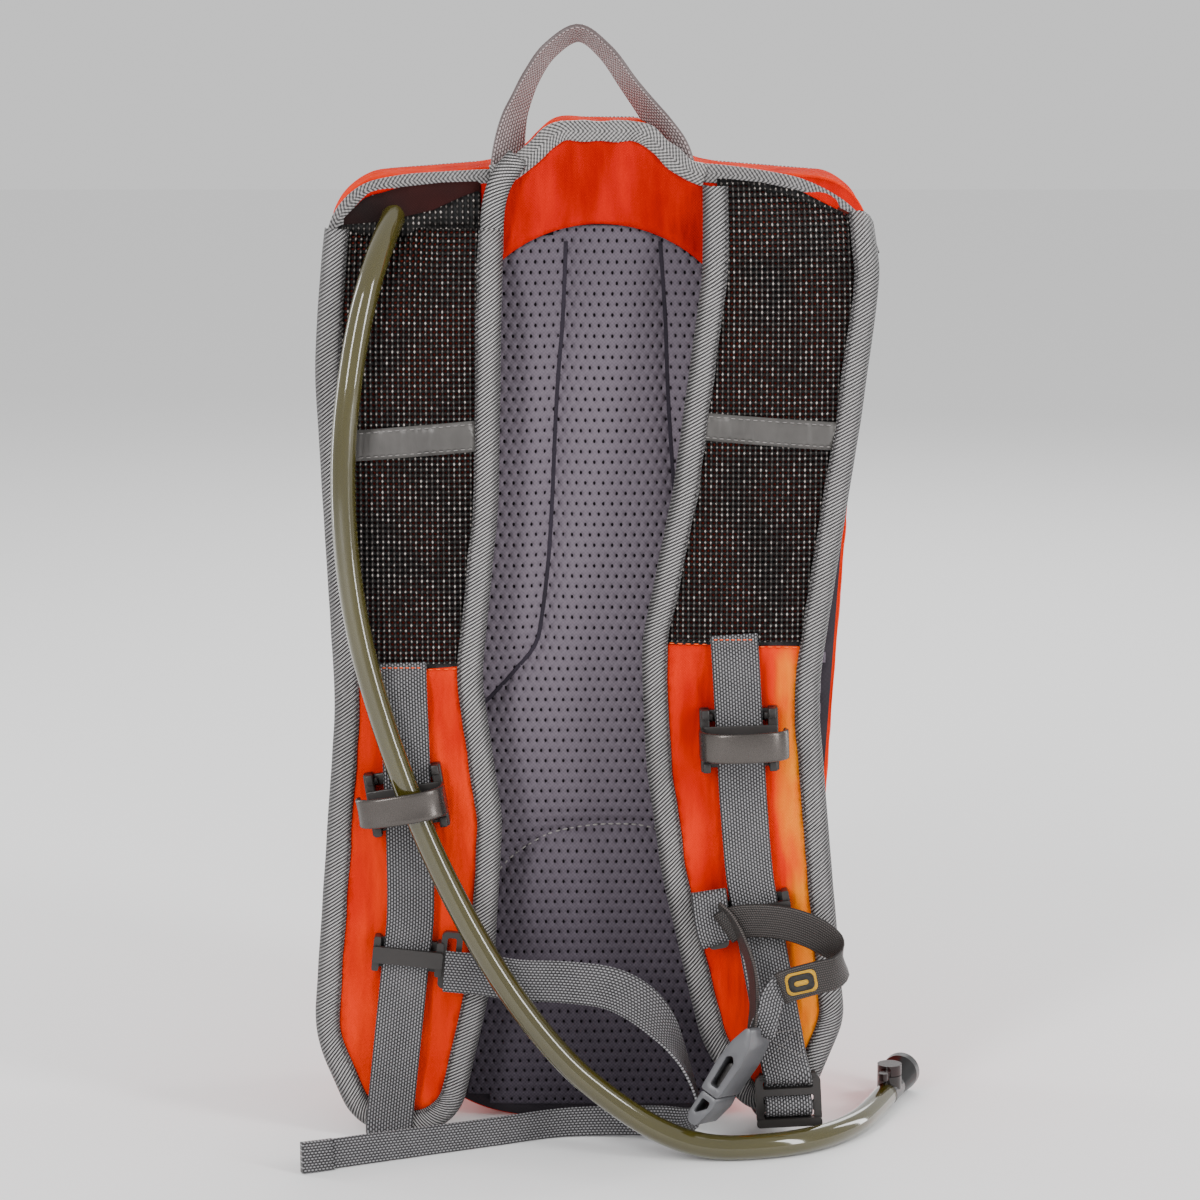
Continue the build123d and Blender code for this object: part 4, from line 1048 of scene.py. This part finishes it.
def make_strap(m, side, strap):
    bend, (seam_z, lean) = strap["bend"], strap["seam"]
    line = rounded(strap["corners"], strap["radii"], closed=False, step=2.0)
    inward = normals_2d(line, False)
    quarter = len(line) // 4
    if ((line.mean(0) - line[quarter]) * inward[quarter]).sum() < 0:
        inward = -inward
    top = bend(line.mean(0)[0]) + math.sqrt(CLOTH_FRONT ** 2 - REAR_LIMIT ** 2)
    keep = line[:, 1] <= top + 1
    edge = make_binding(m, side, strap, line[keep], inward[keep])

    seam_x = sum(x for x, _ in strap["web"]) / len(strap["web"])
    slope = math.tan(math.radians(lean))
    over_seam = edge[:, 1] - seam_z - (edge[:, 0] - seam_x) * slope
    above = over_seam > 0
    lower = edge[over_seam < 0]
    upper = np.vstack([edge[:np.argmin(above)], edge[len(edge) - np.argmin(above[::-1]):]])
    upper = spaced(np.vstack([upper, np.linspace(upper[-1], upper[0], 10)]), 2.5, True)
    lower = spaced(np.vstack([lower, lower[:1]]), 2.5, True)
    whole = spaced(np.vstack([edge, np.linspace(edge[-1], edge[0], 10)]), 2.5, True)

    def crowned(points, rise, base):
        return base + rise * (1 - np.exp(-distance_to(points, edge) / 7.0))

    def mesh_face(points):
        crown = crowned(points, 1.9, CORE_FRONT)
        return bent(points, crown + folds(points, (1, 1, 1, 45, 0.3)), bend)

    def cloth_face(points):
        gap = np.clip(distance_to(points, edge) / 8, 0, 1)
        crease = folds(points, (1.6, 0.5, 6, 15, 1.5), (1, 1, 2, 8, 0.4))
        return bent(points, crowned(points, 0.9, CORE_FRONT) + np.minimum(crease * gap, 0.8), bend)

    def strip_face(points):
        return mesh_face(points) - (0, 0.9, 0)

    mesh = perforated(f"{side}_strap_mesh_face", upper, MESH_PITCH, (1.4, 1.3), mesh_face,
                      m["mesh"], margin=-0.8, stagger=0.0, replaces=[f"{side}_strap_mesh"],
                      slot="black_mesh", solid=0.6)
    fill = patch(f"{side}_strap_spacer", upper, 6.0,
                 lambda points: mesh_face(points) + (0, 1.1, 0), m["spacer"],
                 replaces=[f"{side}_strap_core"], slot="foam", solid=4.0)
    cloth = patch(f"{side}_strap_cloth_face", lower, 3.5, cloth_face, m[strap["cloth"]],
                  replaces=[f"{side}_strap_cloth"], slot="orange_cloth", solid=0.8)
    patch(f"{side}_strap_back", whole, 7.0,
          lambda points: bent(points, crowned(points, -0.8, CORE_BACK), bend), m["lining"], flip=True,
          slot="lining", solid=0.8)

    x = np.linspace(lower[:, 0].min(), lower[:, 0].max(), 40)
    seam_line = np.column_stack([x, seam_z + (x - seam_x) * slope])
    at = cloth_face(seam_line[inside(seam_line, whole)]) - (0, 0.5, 1.2)
    stitches(f"{side}_seam_stitch", at, BACKWARD, m["thread_orange"], 2.2, 1.2, 0.5,
             slot="orange_cloth")

    strip = spaced(strap["strip"], 2.0, True)
    strip = strip[inside(strip, whole) | (distance_to(strip, whole, True) < 1)]
    patch(f"{side}_reflector", strip, 3.0, strip_face, m["tape"],
          replaces=[f"{side}_strap_reflector"], slot="reflective_tape", solid=0.5)
    a, b, c, d = strap["strip"]
    for name, ends, drop in (("top", (a, b), -1.4), ("low", (d, c), 1.4)):
        row = np.linspace(*ends, 60) + (0, drop)
        stitches(f"{side}_reflector_stitch_{name}",
                 strip_face(row[inside(row, whole)]) - (0, 0.25, 0), BACKWARD,
                 m["thread_pale"], 1.9, 1.1, 0.4, slot="reflective_tape")
    make_strap_web(m, side, strap["web"])


def make_strap_web(m, side, web):
    """The webbing down the strap, sewn on at its ends."""
    first, middle, last = (np.array(p, float) for p in web)
    upper, lower = middle - first, last - middle
    points = [(*(first + upper * t), y)
              for t, y in ((0.0, -34.2), (0.035, -34.6), (0.09, -37.6), (0.16, WEB_MIDDLE),
                           (0.35, WEB_MIDDLE), (0.55, WEB_MIDDLE), (0.75, WEB_MIDDLE))]
    points += [(*(middle + lower * t), WEB_MIDDLE) for t in (0.08, 0.3, 0.5, 0.7)]
    if side == "left":
        points += [(*(middle + lower * 0.84), -36.6), (*(middle + lower * 0.95), -36.0)]
        end = [(0, -2, -35.6), (0.5, -4.6, -33.2), (1.5, -4.8, -28.5), (3, -1.5, -26.6)]
        low, high = -24, -38
    else:
        points += [(*(middle + lower * 0.86), -38.4), (*(middle + lower * 0.97), -40.6)]
        end = [(0.9, -2.4, -42.2), (1.3, -5.4, -41.6), (1.1, -6.2, -39.3), (0.6, -4.4, -37.2),
               (-0.6, 4, -36.2)]
        low, high = -4, -16
    points += [(*(last + (dx, dz)), y) for dx, dz, y in end]
    ribbon(f"{side}_web", [(x, y, z) for x, z, y in points], (1, 0, 0), WEB, WEB_THICK,
           m["webbing"], replaces=[f"{side}_strap_webbing"])
    top = np.array([(first[0] + dx, -35.3, first[1] - 2.0) for dx in np.linspace(-8.5, 8.5, 24)])
    stitches(f"{side}_web_top_stitch", top, BACKWARD, m["thread_orange"], 1.6, 0.7, 0.5,
             slot="webbing")
    lean = lower / np.linalg.norm(lower)
    across = np.array([-lean[1], lean[0]])
    box = [((-8, low), (8, low)), ((-8, high), (8, high)), ((-8, low), (-8, high)),
           ((8, low), (8, high)), ((-8, low), (8, high)), ((8, low), (-8, high))]
    for k, ends in enumerate(box):
        row = np.linspace(*(last + across * p + lean * q for p, q in ends), 12)
        along = (row - last) @ lean
        depth = -38.0 if side == "left" else -39.6 - 0.11 * np.maximum(0.0, 12 + along)
        stitches(f"{side}_web_box_stitch_{k}", upright(row, depth), BACKWARD, m["thread_pale"],
                 1.6, 0.8, 0.4, slot="webbing")


# ---------------------------------------------------------------- handle, webs, hardware

def make_handle(m):
    points = [(-40, 3.0, 408), (-38.6, 3.6, 419), (-36.5, 6.0, 431), (-33.5, 8.0, 440),
              (-28.5, 9, 451), (-21, 9, 461.5), (-9, 9, 468.6), (2.5, 9, 460.5), (12, 9, 447.5),
              (19.5, 8.5, 437.5), (26.5, 6.0, 428), (31.5, 3.6, 419), (34.5, 3.0, 409)]
    sides = [(0.85, 0.5, 0), (0.85, 0.5, 0), (0.7, 0.7, -0.2), (0.5, 0.85, -0.25),
             (0.38, 0.9, -0.25), (0.25, 0.9, -0.35), (0, 0.88, -0.45), (-0.28, 0.9, -0.32),
             (-0.42, 0.88, -0.25), (-0.55, 0.82, -0.25), (-0.7, 0.7, -0.2), (-0.85, 0.5, 0),
             (-0.85, 0.5, 0)]
    handle = ribbon("handle_web", points, sides, 15.0, 2.0, m["handle"], step=1.6,
                    replaces=["grab_handle", "handle_anchors"], body=None)
    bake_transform(handle)


def make_label(m):
    """The web with the sewn label, its short return and its edge, between slider and buckle."""
    loose = [ribbon(
        "sternum_web_right",
        [(52, -43.6, 95), (57, -43.9, 98), (67, -44.3, 99), (80, -44.6, 97.5), (92, -45.4, 93),
         (100, -47.6, 87), (102.3, -51.6, 82.5), (99, -55.8, 79.5), (90, -57.4, 77.5),
         (80.5, -58.2, 75), (75.5, -58.8, 73.2)],
        [(0.3, 0, 1), (0.15, 0, 1), (0, 0, 1), (-0.1, 0, 1), (-0.3, 0, 1), (-0.35, 0, 1),
         (-0.2, 0.1, 1), (0.1, 0, 1), (0.15, 0, 1), (0.22, 0, 1), (0.3, 0, 1)],
        14.5, WEB_THICK, m["label"], replaces=["right_sternum_web"], body=None)]
    loose.append(ribbon(
        "sternum_web_short",
        [(77.5, -57.2, 75.5), (74.5, -57.6, 73.5), (72.2, -58.0, 69), (71, -58.2, 63),
         (69, -57.8, 57), (67.8, -57.0, 52.5)],
        [(0.35, 0, 1), (-0.25, 0, 0.95), (-0.75, 0, 0.45), (-0.95, 0, 0.2), (-0.92, 0.2, 0.35),
         (-0.86, 0.2, 0.5)],
        [11.0, 10.0, 9.5, 10.0, 11.0, 11.0], WEB_THICK, m["webbing"], body=None))
    loose.append(ribbon(
        "sternum_web_edge",
        [(50, -42.8, 105), (54.5, -44.5, 101), (60, -47.5, 91), (64, -50.5, 79), (65, -53.5, 66),
         (64, -56.0, 55)],
        (0.3, -0.9, 0.3), 9.0, 1.4, m["label"], body=None))

    def on_label(points, out):
        x, z = points[:, 0], points[:, 1]
        return np.column_stack([84.5 + x - z * 0.2, -57.85 + x * 0.055 - out,
                                76.1 + z + x * 0.22])

    for k, (wide, tall, out, paint) in enumerate(((13.0, 9.4, 1.25, "patch"),
                                                 (10.8, 7.2, 1.65, "patch_dark"),
                                                 (6.0, 2.0, 2.05, "patch"))):
        corners = np.array([(-1, -1), (1, -1), (1, 1), (-1, 1)]) * (wide / 2, tall / 2)
        outline = rounded(corners, [min(2.4, tall * 0.45)] * 4, step=0.7)
        loose.append(patch(f"label_patch_{k}", outline, 1.6, partial(on_label, out=out), m[paint],
                           slot="webbing", solid=0.35, body=None))
    for web in loose:
        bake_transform(web)


def make_webs(m):
    ribbon("sternum_web_left",
           [(-66, -42.8, 76.5), (-50, -43.2, 75), (-34, -42.6, 72.5), (-14, -42.4, 71.5),
            (4, -42.8, 69), (17, -43.4, 62.5), (27, -44.5, 52.5), (34, -47, 41), (39, -51, 30),
            (42.5, -55, 21)],
           [(0, 0, 1), (0.05, 0, 1), (0.08, 0, 1), (0.05, 0.1, 1), (0.25, 0.2, 0.95),
            (0.4, 0.45, 0.75), (0.3, 0.75, 0.5), (0.1, 0.95, 0.2), (0, 1, 0), (0, 1, 0)],
           18.0, WEB_THICK, m["webbing"], body="sternum_left", replaces=["left_sternum_web"])
    ribbon("sternum_hook_web",
           [(50.4, -40.4, 88), (48.6, -41.4, 93), (47.2, -41.9, 100), (46.4, -41.9, 107),
            (46.0, -40.6, 110.2), (46.0, -38.8, 110.4), (46.2, -37.9, 107), (46.6, -37.8, 102.5)],
           (1, 0, 0.2), 15.0, 1.4, m["webbing"], body="sternum_right")
    ribbon("strap_tail_hem",
           [(-112, -75.1, 6.5), (-116, -76.9, 6.5), (-121, -79.2, 6.6), (-124.5, -80.8, 6.7)],
           (0, 0.1, 1), 13.4, 3.6, m["webbing"])
    tail = ribbon(
        "strap_tail_web",
        [(43, -56.5, 17), (36, -51, 12.5), (26, -43, 10.5), (13, -34.5, 8.0), (-2, -31.5, 6.9),
         (-20, -34, 6.6), (-46, -45.5, 6.5), (-72, -57, 6.5), (-98, -68.5, 6.5), (-124, -80.5, 6.5)],
        [(0, 1, 0.2), (0.2, 0.6, 0.8), (0.1, 0.2, 1), (0, 0, 1), (0, 0, 1), (0, -0.08, 1),
         (0, -0.1, 1), (0, -0.05, 1), (0, 0.05, 1), (0, 0.1, 1)],
        13.0, WEB_THICK, m["webbing"], replaces=["strap_tail"], body=None)
    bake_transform(tail)
    right = ribbon(
        "right_adjuster",
        [(74, -0.6, 9.4), (75, -12, 8.6), (77, -25, 8.8), (79.5, -34.5, 10.4), (80.6, -38.4, 12.4),
         (80.8, -42.2, 13.4), (80.7, -43.2, 16.4), (80.5, -42.4, 19.2), (80.3, -39.4, 20.2),
         (80.2, -36.2, 22.5), (80, -35.4, 28)],
        (1, 0, 0.05), WEB, WEB_THICK, m["webbing"], replaces=["right_adjuster_web"], body=None)
    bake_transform(right)
    left = ribbon(
        "left_adjuster",
        [(-76, -4.8, 26), (-77, -9, 21), (-79.5, -14, 14), (-82, -17.8, 10.6), (-84, -20.2, 10.6),
         (-84, -24.2, 11.6), (-84, -25.2, 14.4), (-84, -24.4, 17), (-84, -21, 17.8),
         (-84, -18.6, 20)],
        (1, 0, 0), WEB, 1.4, m["webbing"], replaces=["left_adjuster_web"], body=None)
    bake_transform(left)


def boxes(name, plane, sizes, material, **where):
    """Rounded bars in a plane's own frame: each ((across, up, out) middle, (wide, tall, thick))."""
    origin, *axes = plane
    verts, faces = [], []
    for middle, size in sizes:
        base = len(verts)
        for corner in ((-1, -1, -1), (1, -1, -1), (1, 1, -1), (-1, 1, -1),
                       (-1, -1, 1), (1, -1, 1), (1, 1, 1), (-1, 1, 1)):
            spot = np.array(middle) + np.array(corner) * size / 2
            verts.append(origin + spot @ np.array(axes))
        faces += [tuple(base + k for k in face) for face in
                  ((3, 2, 1, 0), (4, 5, 6, 7), (0, 1, 5, 4), (1, 2, 6, 5), (2, 3, 7, 6),
                   (3, 0, 4, 7))]
    make_soft(piece(name, verts, faces, material, **where), 0.7, 3, 30)


ARM_HEIGHT = 12.6
CLIP_BACK = -33.9
BUCKLE_MIDDLE = (54.5, -57.5, 35.0)


def make_clip(m, side, at, tilt, hinge):
    """H frame threaded on the webbing, and its sprung arm bowed over the hose."""
    t = math.radians(tilt)
    across = np.array((math.cos(t), 0, math.sin(t)))
    up = np.array((-math.sin(t), 0, math.cos(t)))
    out = np.array((0, -1.0, 0))
    middle = np.array((at[0], CLIP_BACK, at[1]))
    where = {"body": f"{side}_clip", "slot": "dark_hardware"}
    parts = []
    for hand in (-1, 1):
        parts.append(((hand * 14.4, 0, 3.1), (4.2, 27, 6.2)))
        for end in (-1, 1):
            parts.append(((hand * 14.0, end * 11.4, 5.2), (3.4, 4.2, 6.4)))
            parts.append(((hand * 12.6, end * 9.6, 2.0), (4.0, 3.0, 3.6)))
    parts += [((0, end * 10, 1.0), (29, 5, 2.0)) for end in (-1, 1)]
    plane = (middle, across, up, out)
    boxes(f"{side}_clip_frame", plane, parts, m["hardware"], replaces=[f"{side}_hose_clip"],
          **where)
    boxes(f"{side}_clip_plate", plane, [((0, 0, 6.3), (32.6, 12.4, 1.1))], m["hardware"], **where)
    bow = [(15.4, 6.2), (16.1, 9.8), (16.0, 14.6), (13.8, 19.6), (8.2, 22.8), (0.5, 24.0),
           (-7.5, 23.6), (-13.8, 22.2), (-17.6, 19.8), (-19.4, 16.4), (-19.0, 13.6)]
    points = [middle + across * a * hinge + out * d for a, d in bow]
    line = flowing(np.hstack([points, np.tile(up, (len(points), 1))]), 0.9)
    side_axis, normal = frames(line[:, :3], line[:, 3:6])
    high = ARM_HEIGHT / 2
    section = [(-high, 0), (-high + 0.25, 0.65), (-high + 0.9, 0.95), (-high + 2.2, 0.72), (0, 0.6),
               (high - 2.2, 0.72), (high - 0.9, 0.95), (high - 0.25, 0.65), (high, 0),
               (high - 0.3, -0.8), (high - 1.2, -0.95), (0, -0.95), (1.2 - high, -0.95),
               (0.3 - high, -0.8)]
    swept(f"{side}_clip_arm", line[:, :3], side_axis, normal, section, m["clip"], **where)


def profile(name, outline, radii, holes, wide, material, body, replaces=()):
    """A side outline of the buckle (along it, out of its face), made wide across it."""
    lean, turn = math.radians(30.7), math.radians(-25.0)
    face = np.array((math.cos(lean), 0, -math.sin(lean)))
    y_axis = np.array((0, 1.0, 0))
    across = y_axis * math.cos(turn) - face * math.sin(turn)
    out = face * math.cos(turn) + y_axis * math.sin(turn)
    along = np.array((math.sin(lean), 0, math.cos(lean)))

    def at(points):
        return (np.array(BUCKLE_MIDDLE) + points[:, :1] * along + points[:, 1:2] * out
                - across * wide / 2)

    obj = patch(name, rounded(outline, radii, step=0.6), 2.4, at, material,
                holes=[rounded(h, [r] * len(h), step=0.6) for h, r in holes],
                slot="buckle_plastic", solid=wide, grow=1, body=body, replaces=replaces)
    make_soft(obj, 0.6, 2, 50)


def make_buckle(m):
    profile("buckle_female",
            [(-8, -4.4), (6, -4.8), (16, -3.8), (24.4, -1.2), (24.6, 1.2), (18, 4.4), (8, 5.2),
             (-8, 4.4)], [1.2, 8, 8, 1.6, 1.6, 8, 8, 1.2],
            [([(-4.5, -1.9), (9.5, -2.1), (11, 0.2), (8.5, 2.2), (-4.5, 2.0)], 0.9)],
            26, m["buckle"], "buckle_female", ["female_buckle"])
    profile("buckle_male",
            [(-23.2, -1.8), (-19.5, -3.6), (-8.6, -3.4), (-8.6, 4.2), (-13, 4.6), (-23.2, 2.2)],
            [1.6, 2.5, 0.9, 1.2, 3, 1.6],
            [([(-19.5, -2.0), (-11.2, -1.6), (-11.2, 2.4), (-14, 2.6)], 0.7)],
            25, m["buckle"], "sternum_left", ["male_buckle"])
    profile("buckle_tongue", [(-10, -1.5), (5.5, -1.6), (7.5, 0), (5.5, 1.6), (-10, 1.5)],
            [0.5, 1, 1, 1, 0.5], [], 14, m["hardware"], "sternum_left")


def make_hardware(m):
    make_buckle(m)
    make_clip(m, "left", (-81.5, 150), 9, 1)
    make_clip(m, "right", (58.6, 176), 2, -1)
    dress(m["hardware"], "left_sternum_slider", "right_sternum_slider", "left_ladder_lock",
          "right_ladder_lock", bevel=0.5)
    dress(m["hardware"], "cord_lock", "cord_lock_button", bevel=0.6)
    dress(m["zip_metal"], "main_zip_slider", "front_zip_slider", bevel=0.4)
    dress(m["pull"], "main_zip_pull", "front_zip_pull", bevel=0.5)
    dress(m["film"], "reservoir_bladder", bevel=0.0)
    dress(m["buckle"], "filler_ring", "filler_cap", "outlet_fitting", "port_elbow", bevel=0.5)
    dress(m["lining"], "reservoir_sleeve", "reservoir_hanger", bevel=0.0)
    dress(m["bore"], "inner_tube", bevel=0.0)


# ---------------------------------------------------------------- outer face

ZIP_RADIUS = 86.0
ZIP_MIDDLE = 286.0
ZIP_GAP = 6.4               # from the coil to the middle of each tape half
POCKET_ZIP = 191.0
POCKET_DEPTH = 15.3


def teeth(name, line, material, replaces, pitch=1.7, wide=4.2, tall=1.4):
    """Zip coils: a small rounded bar across the tape at every pitch."""
    def rings(place, along, side):
        for s, r in ((-1.0, 0.5), (-0.7, 1.0), (0.7, 1.0), (1.0, 0.5)):
            yield (place + side * s * wide / 2 + FACE_NORMAL * tall / 2, along * r * pitch * 0.36,
                   FACE_NORMAL * r * tall / 2)

    grains(name, spaced(line, pitch), FACE_NORMAL, rings, material, flip=True,
           replaces=replaces, slot="zip_tape")


def make_zips(m):
    flat = np.array([(x, POCKET_ZIP) for x in np.linspace(-62, 62, 50)])
    for name, line, node in (("main_zip", arc(0, ZIP_MIDDLE, ZIP_RADIUS, 4, 176, 90), "main_zip"),
                             ("pocket_zip", flat, "front_zip")):
        across = normals_2d(line, False)
        for hand, gap in (("inner", ZIP_GAP), ("outer", -ZIP_GAP)):
            path = on_face(line + across * gap, 0.55)
            side = np.gradient(path, axis=0)
            side /= np.linalg.norm(side, axis=1)[:, None]
            swept(f"{name}_tape_{hand}", path, np.cross(side, FACE_NORMAL),
                  np.tile(FACE_NORMAL, (len(path), 1)), flat_section(9.6, 1.0), m["zip_tape"],
                  replaces=[node], slot="zip_tape")
            stitches(f"{name}_stitch_{hand}", on_face(line + across * gap * 1.35, 1.15),
                     FACE_NORMAL, m["thread_dark"], slot="zip_tape")
        teeth(f"{name}_teeth", on_face(line, 0.9), m["zip_teeth"], [node])


def make_pocket(m):
    cloth = {"replaces": ["front_pocket"], "slot": "orange_cloth", "solid": 1.0}
    outline = rounded([(-73, 28), (73, 28), (73, 178), (-73, 178)], [26] * 4, step=3.0)
    rings = [(0.0, 0.2), (-0.2, 4.0), (0.0, 9.0), (1.5, 12.4), (5.0, 14.3), (12.0, POCKET_DEPTH)]
    inward = -outward(outline)
    verts, runs = [], []
    for inset, height in rings:
        for k, (p, n) in enumerate(zip(outline, inward)):
            fold = wave(k * 3.0, height * 3, 2, 15) * 0.8
            verts.append(on_face([p + n * (inset - fold)], height)[0])
            runs.append((k * 3.0, height))
    piece("pocket_side", verts, sheet_of_quads(len(rings), len(outline), wrap=True), m["orange"],
          run=runs, **cloth)
    front = outline + inward * 12.0

    def face(points):
        edge = distance_to(points, front, True)
        lift = POCKET_DEPTH + 1.8 * (1 - np.exp(-edge / 26))
        crease = folds(points, (1, 1, 3, 30, 1.5), (1, 1, 6, 13, 0.9))
        return on_face(points, lift + crease * np.clip(edge / 12, 0, 1))

    patch("pocket_face", front, 4.5, face, m["orange"], **cloth)


SHOCK_ROUTE = [
    (0, 345), (0, 304), (-5, 300.5), (-44, 293.5), (-46, 289.5), (44, 263.5), (46, 259.5),
    (-44, 234.5), (-46, 230.5), (44, 217.5), (46, 213.5), (0, 205),
]
SHOCK_LOOPS = [(-46, 291.5), (46, 261.5), (-46, 232.5), (46, 215.5)]


def make_shock_cord(m):
    for k, (u, v) in enumerate(SHOCK_LOOPS):
        hand = math.copysign(1, u)
        bow = [(9.5, 0.7), (6.5, 1.6), (3.0, 5.6), (0.2, 7.6), (-3.4, 7.4), (-4.0, 4.6),
               (-1.0, 2.6), (4.0, 1.8), (10.5, 0.9)]
        points = on_face([(u + hand * a, v) for a, h in bow], np.array([h for a, h in bow]))
        ribbon(f"cord_loop_{k}", points, (0, 0, 1), 9.0, 0.9, m["webbing"], step=0.8,
               replaces=["cord_loops"])
        row = on_face([(u + hand * 7.0, v + t) for t in np.linspace(-4, 4, 12)], 2.0)
        stitches(f"cord_loop_stitch_{k}", row, FACE_NORMAL, m["thread_dark"], 1.2, 0.6, 0.4,
                 slot="webbing")
    route = [tuple(p) for p in on_face(SHOCK_ROUTE, 5.2) * MM]
    cord = tube_along("shock_cord_line", route, SHOCK, m["shock"], "shock_cord", ["shock_cord"])
    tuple(route[0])


# ---------------------------------------------------------------- build

MATERIALS = make_materials()
make_camera()
make_studio()
make_hose(MATERIALS)
OUTLINE = make_bag(MATERIALS)
for make_part in (make_panel, make_yoke, make_top_edge):
    make_part(MATERIALS, OUTLINE)
for hand_side, strap_values in STRAPS.items():
    make_strap(MATERIALS, hand_side, strap_values)
for make_part in (make_handle, make_webs, make_label, make_hardware, make_zips, make_pocket,
                  make_shock_cord):
    make_part(MATERIALS)
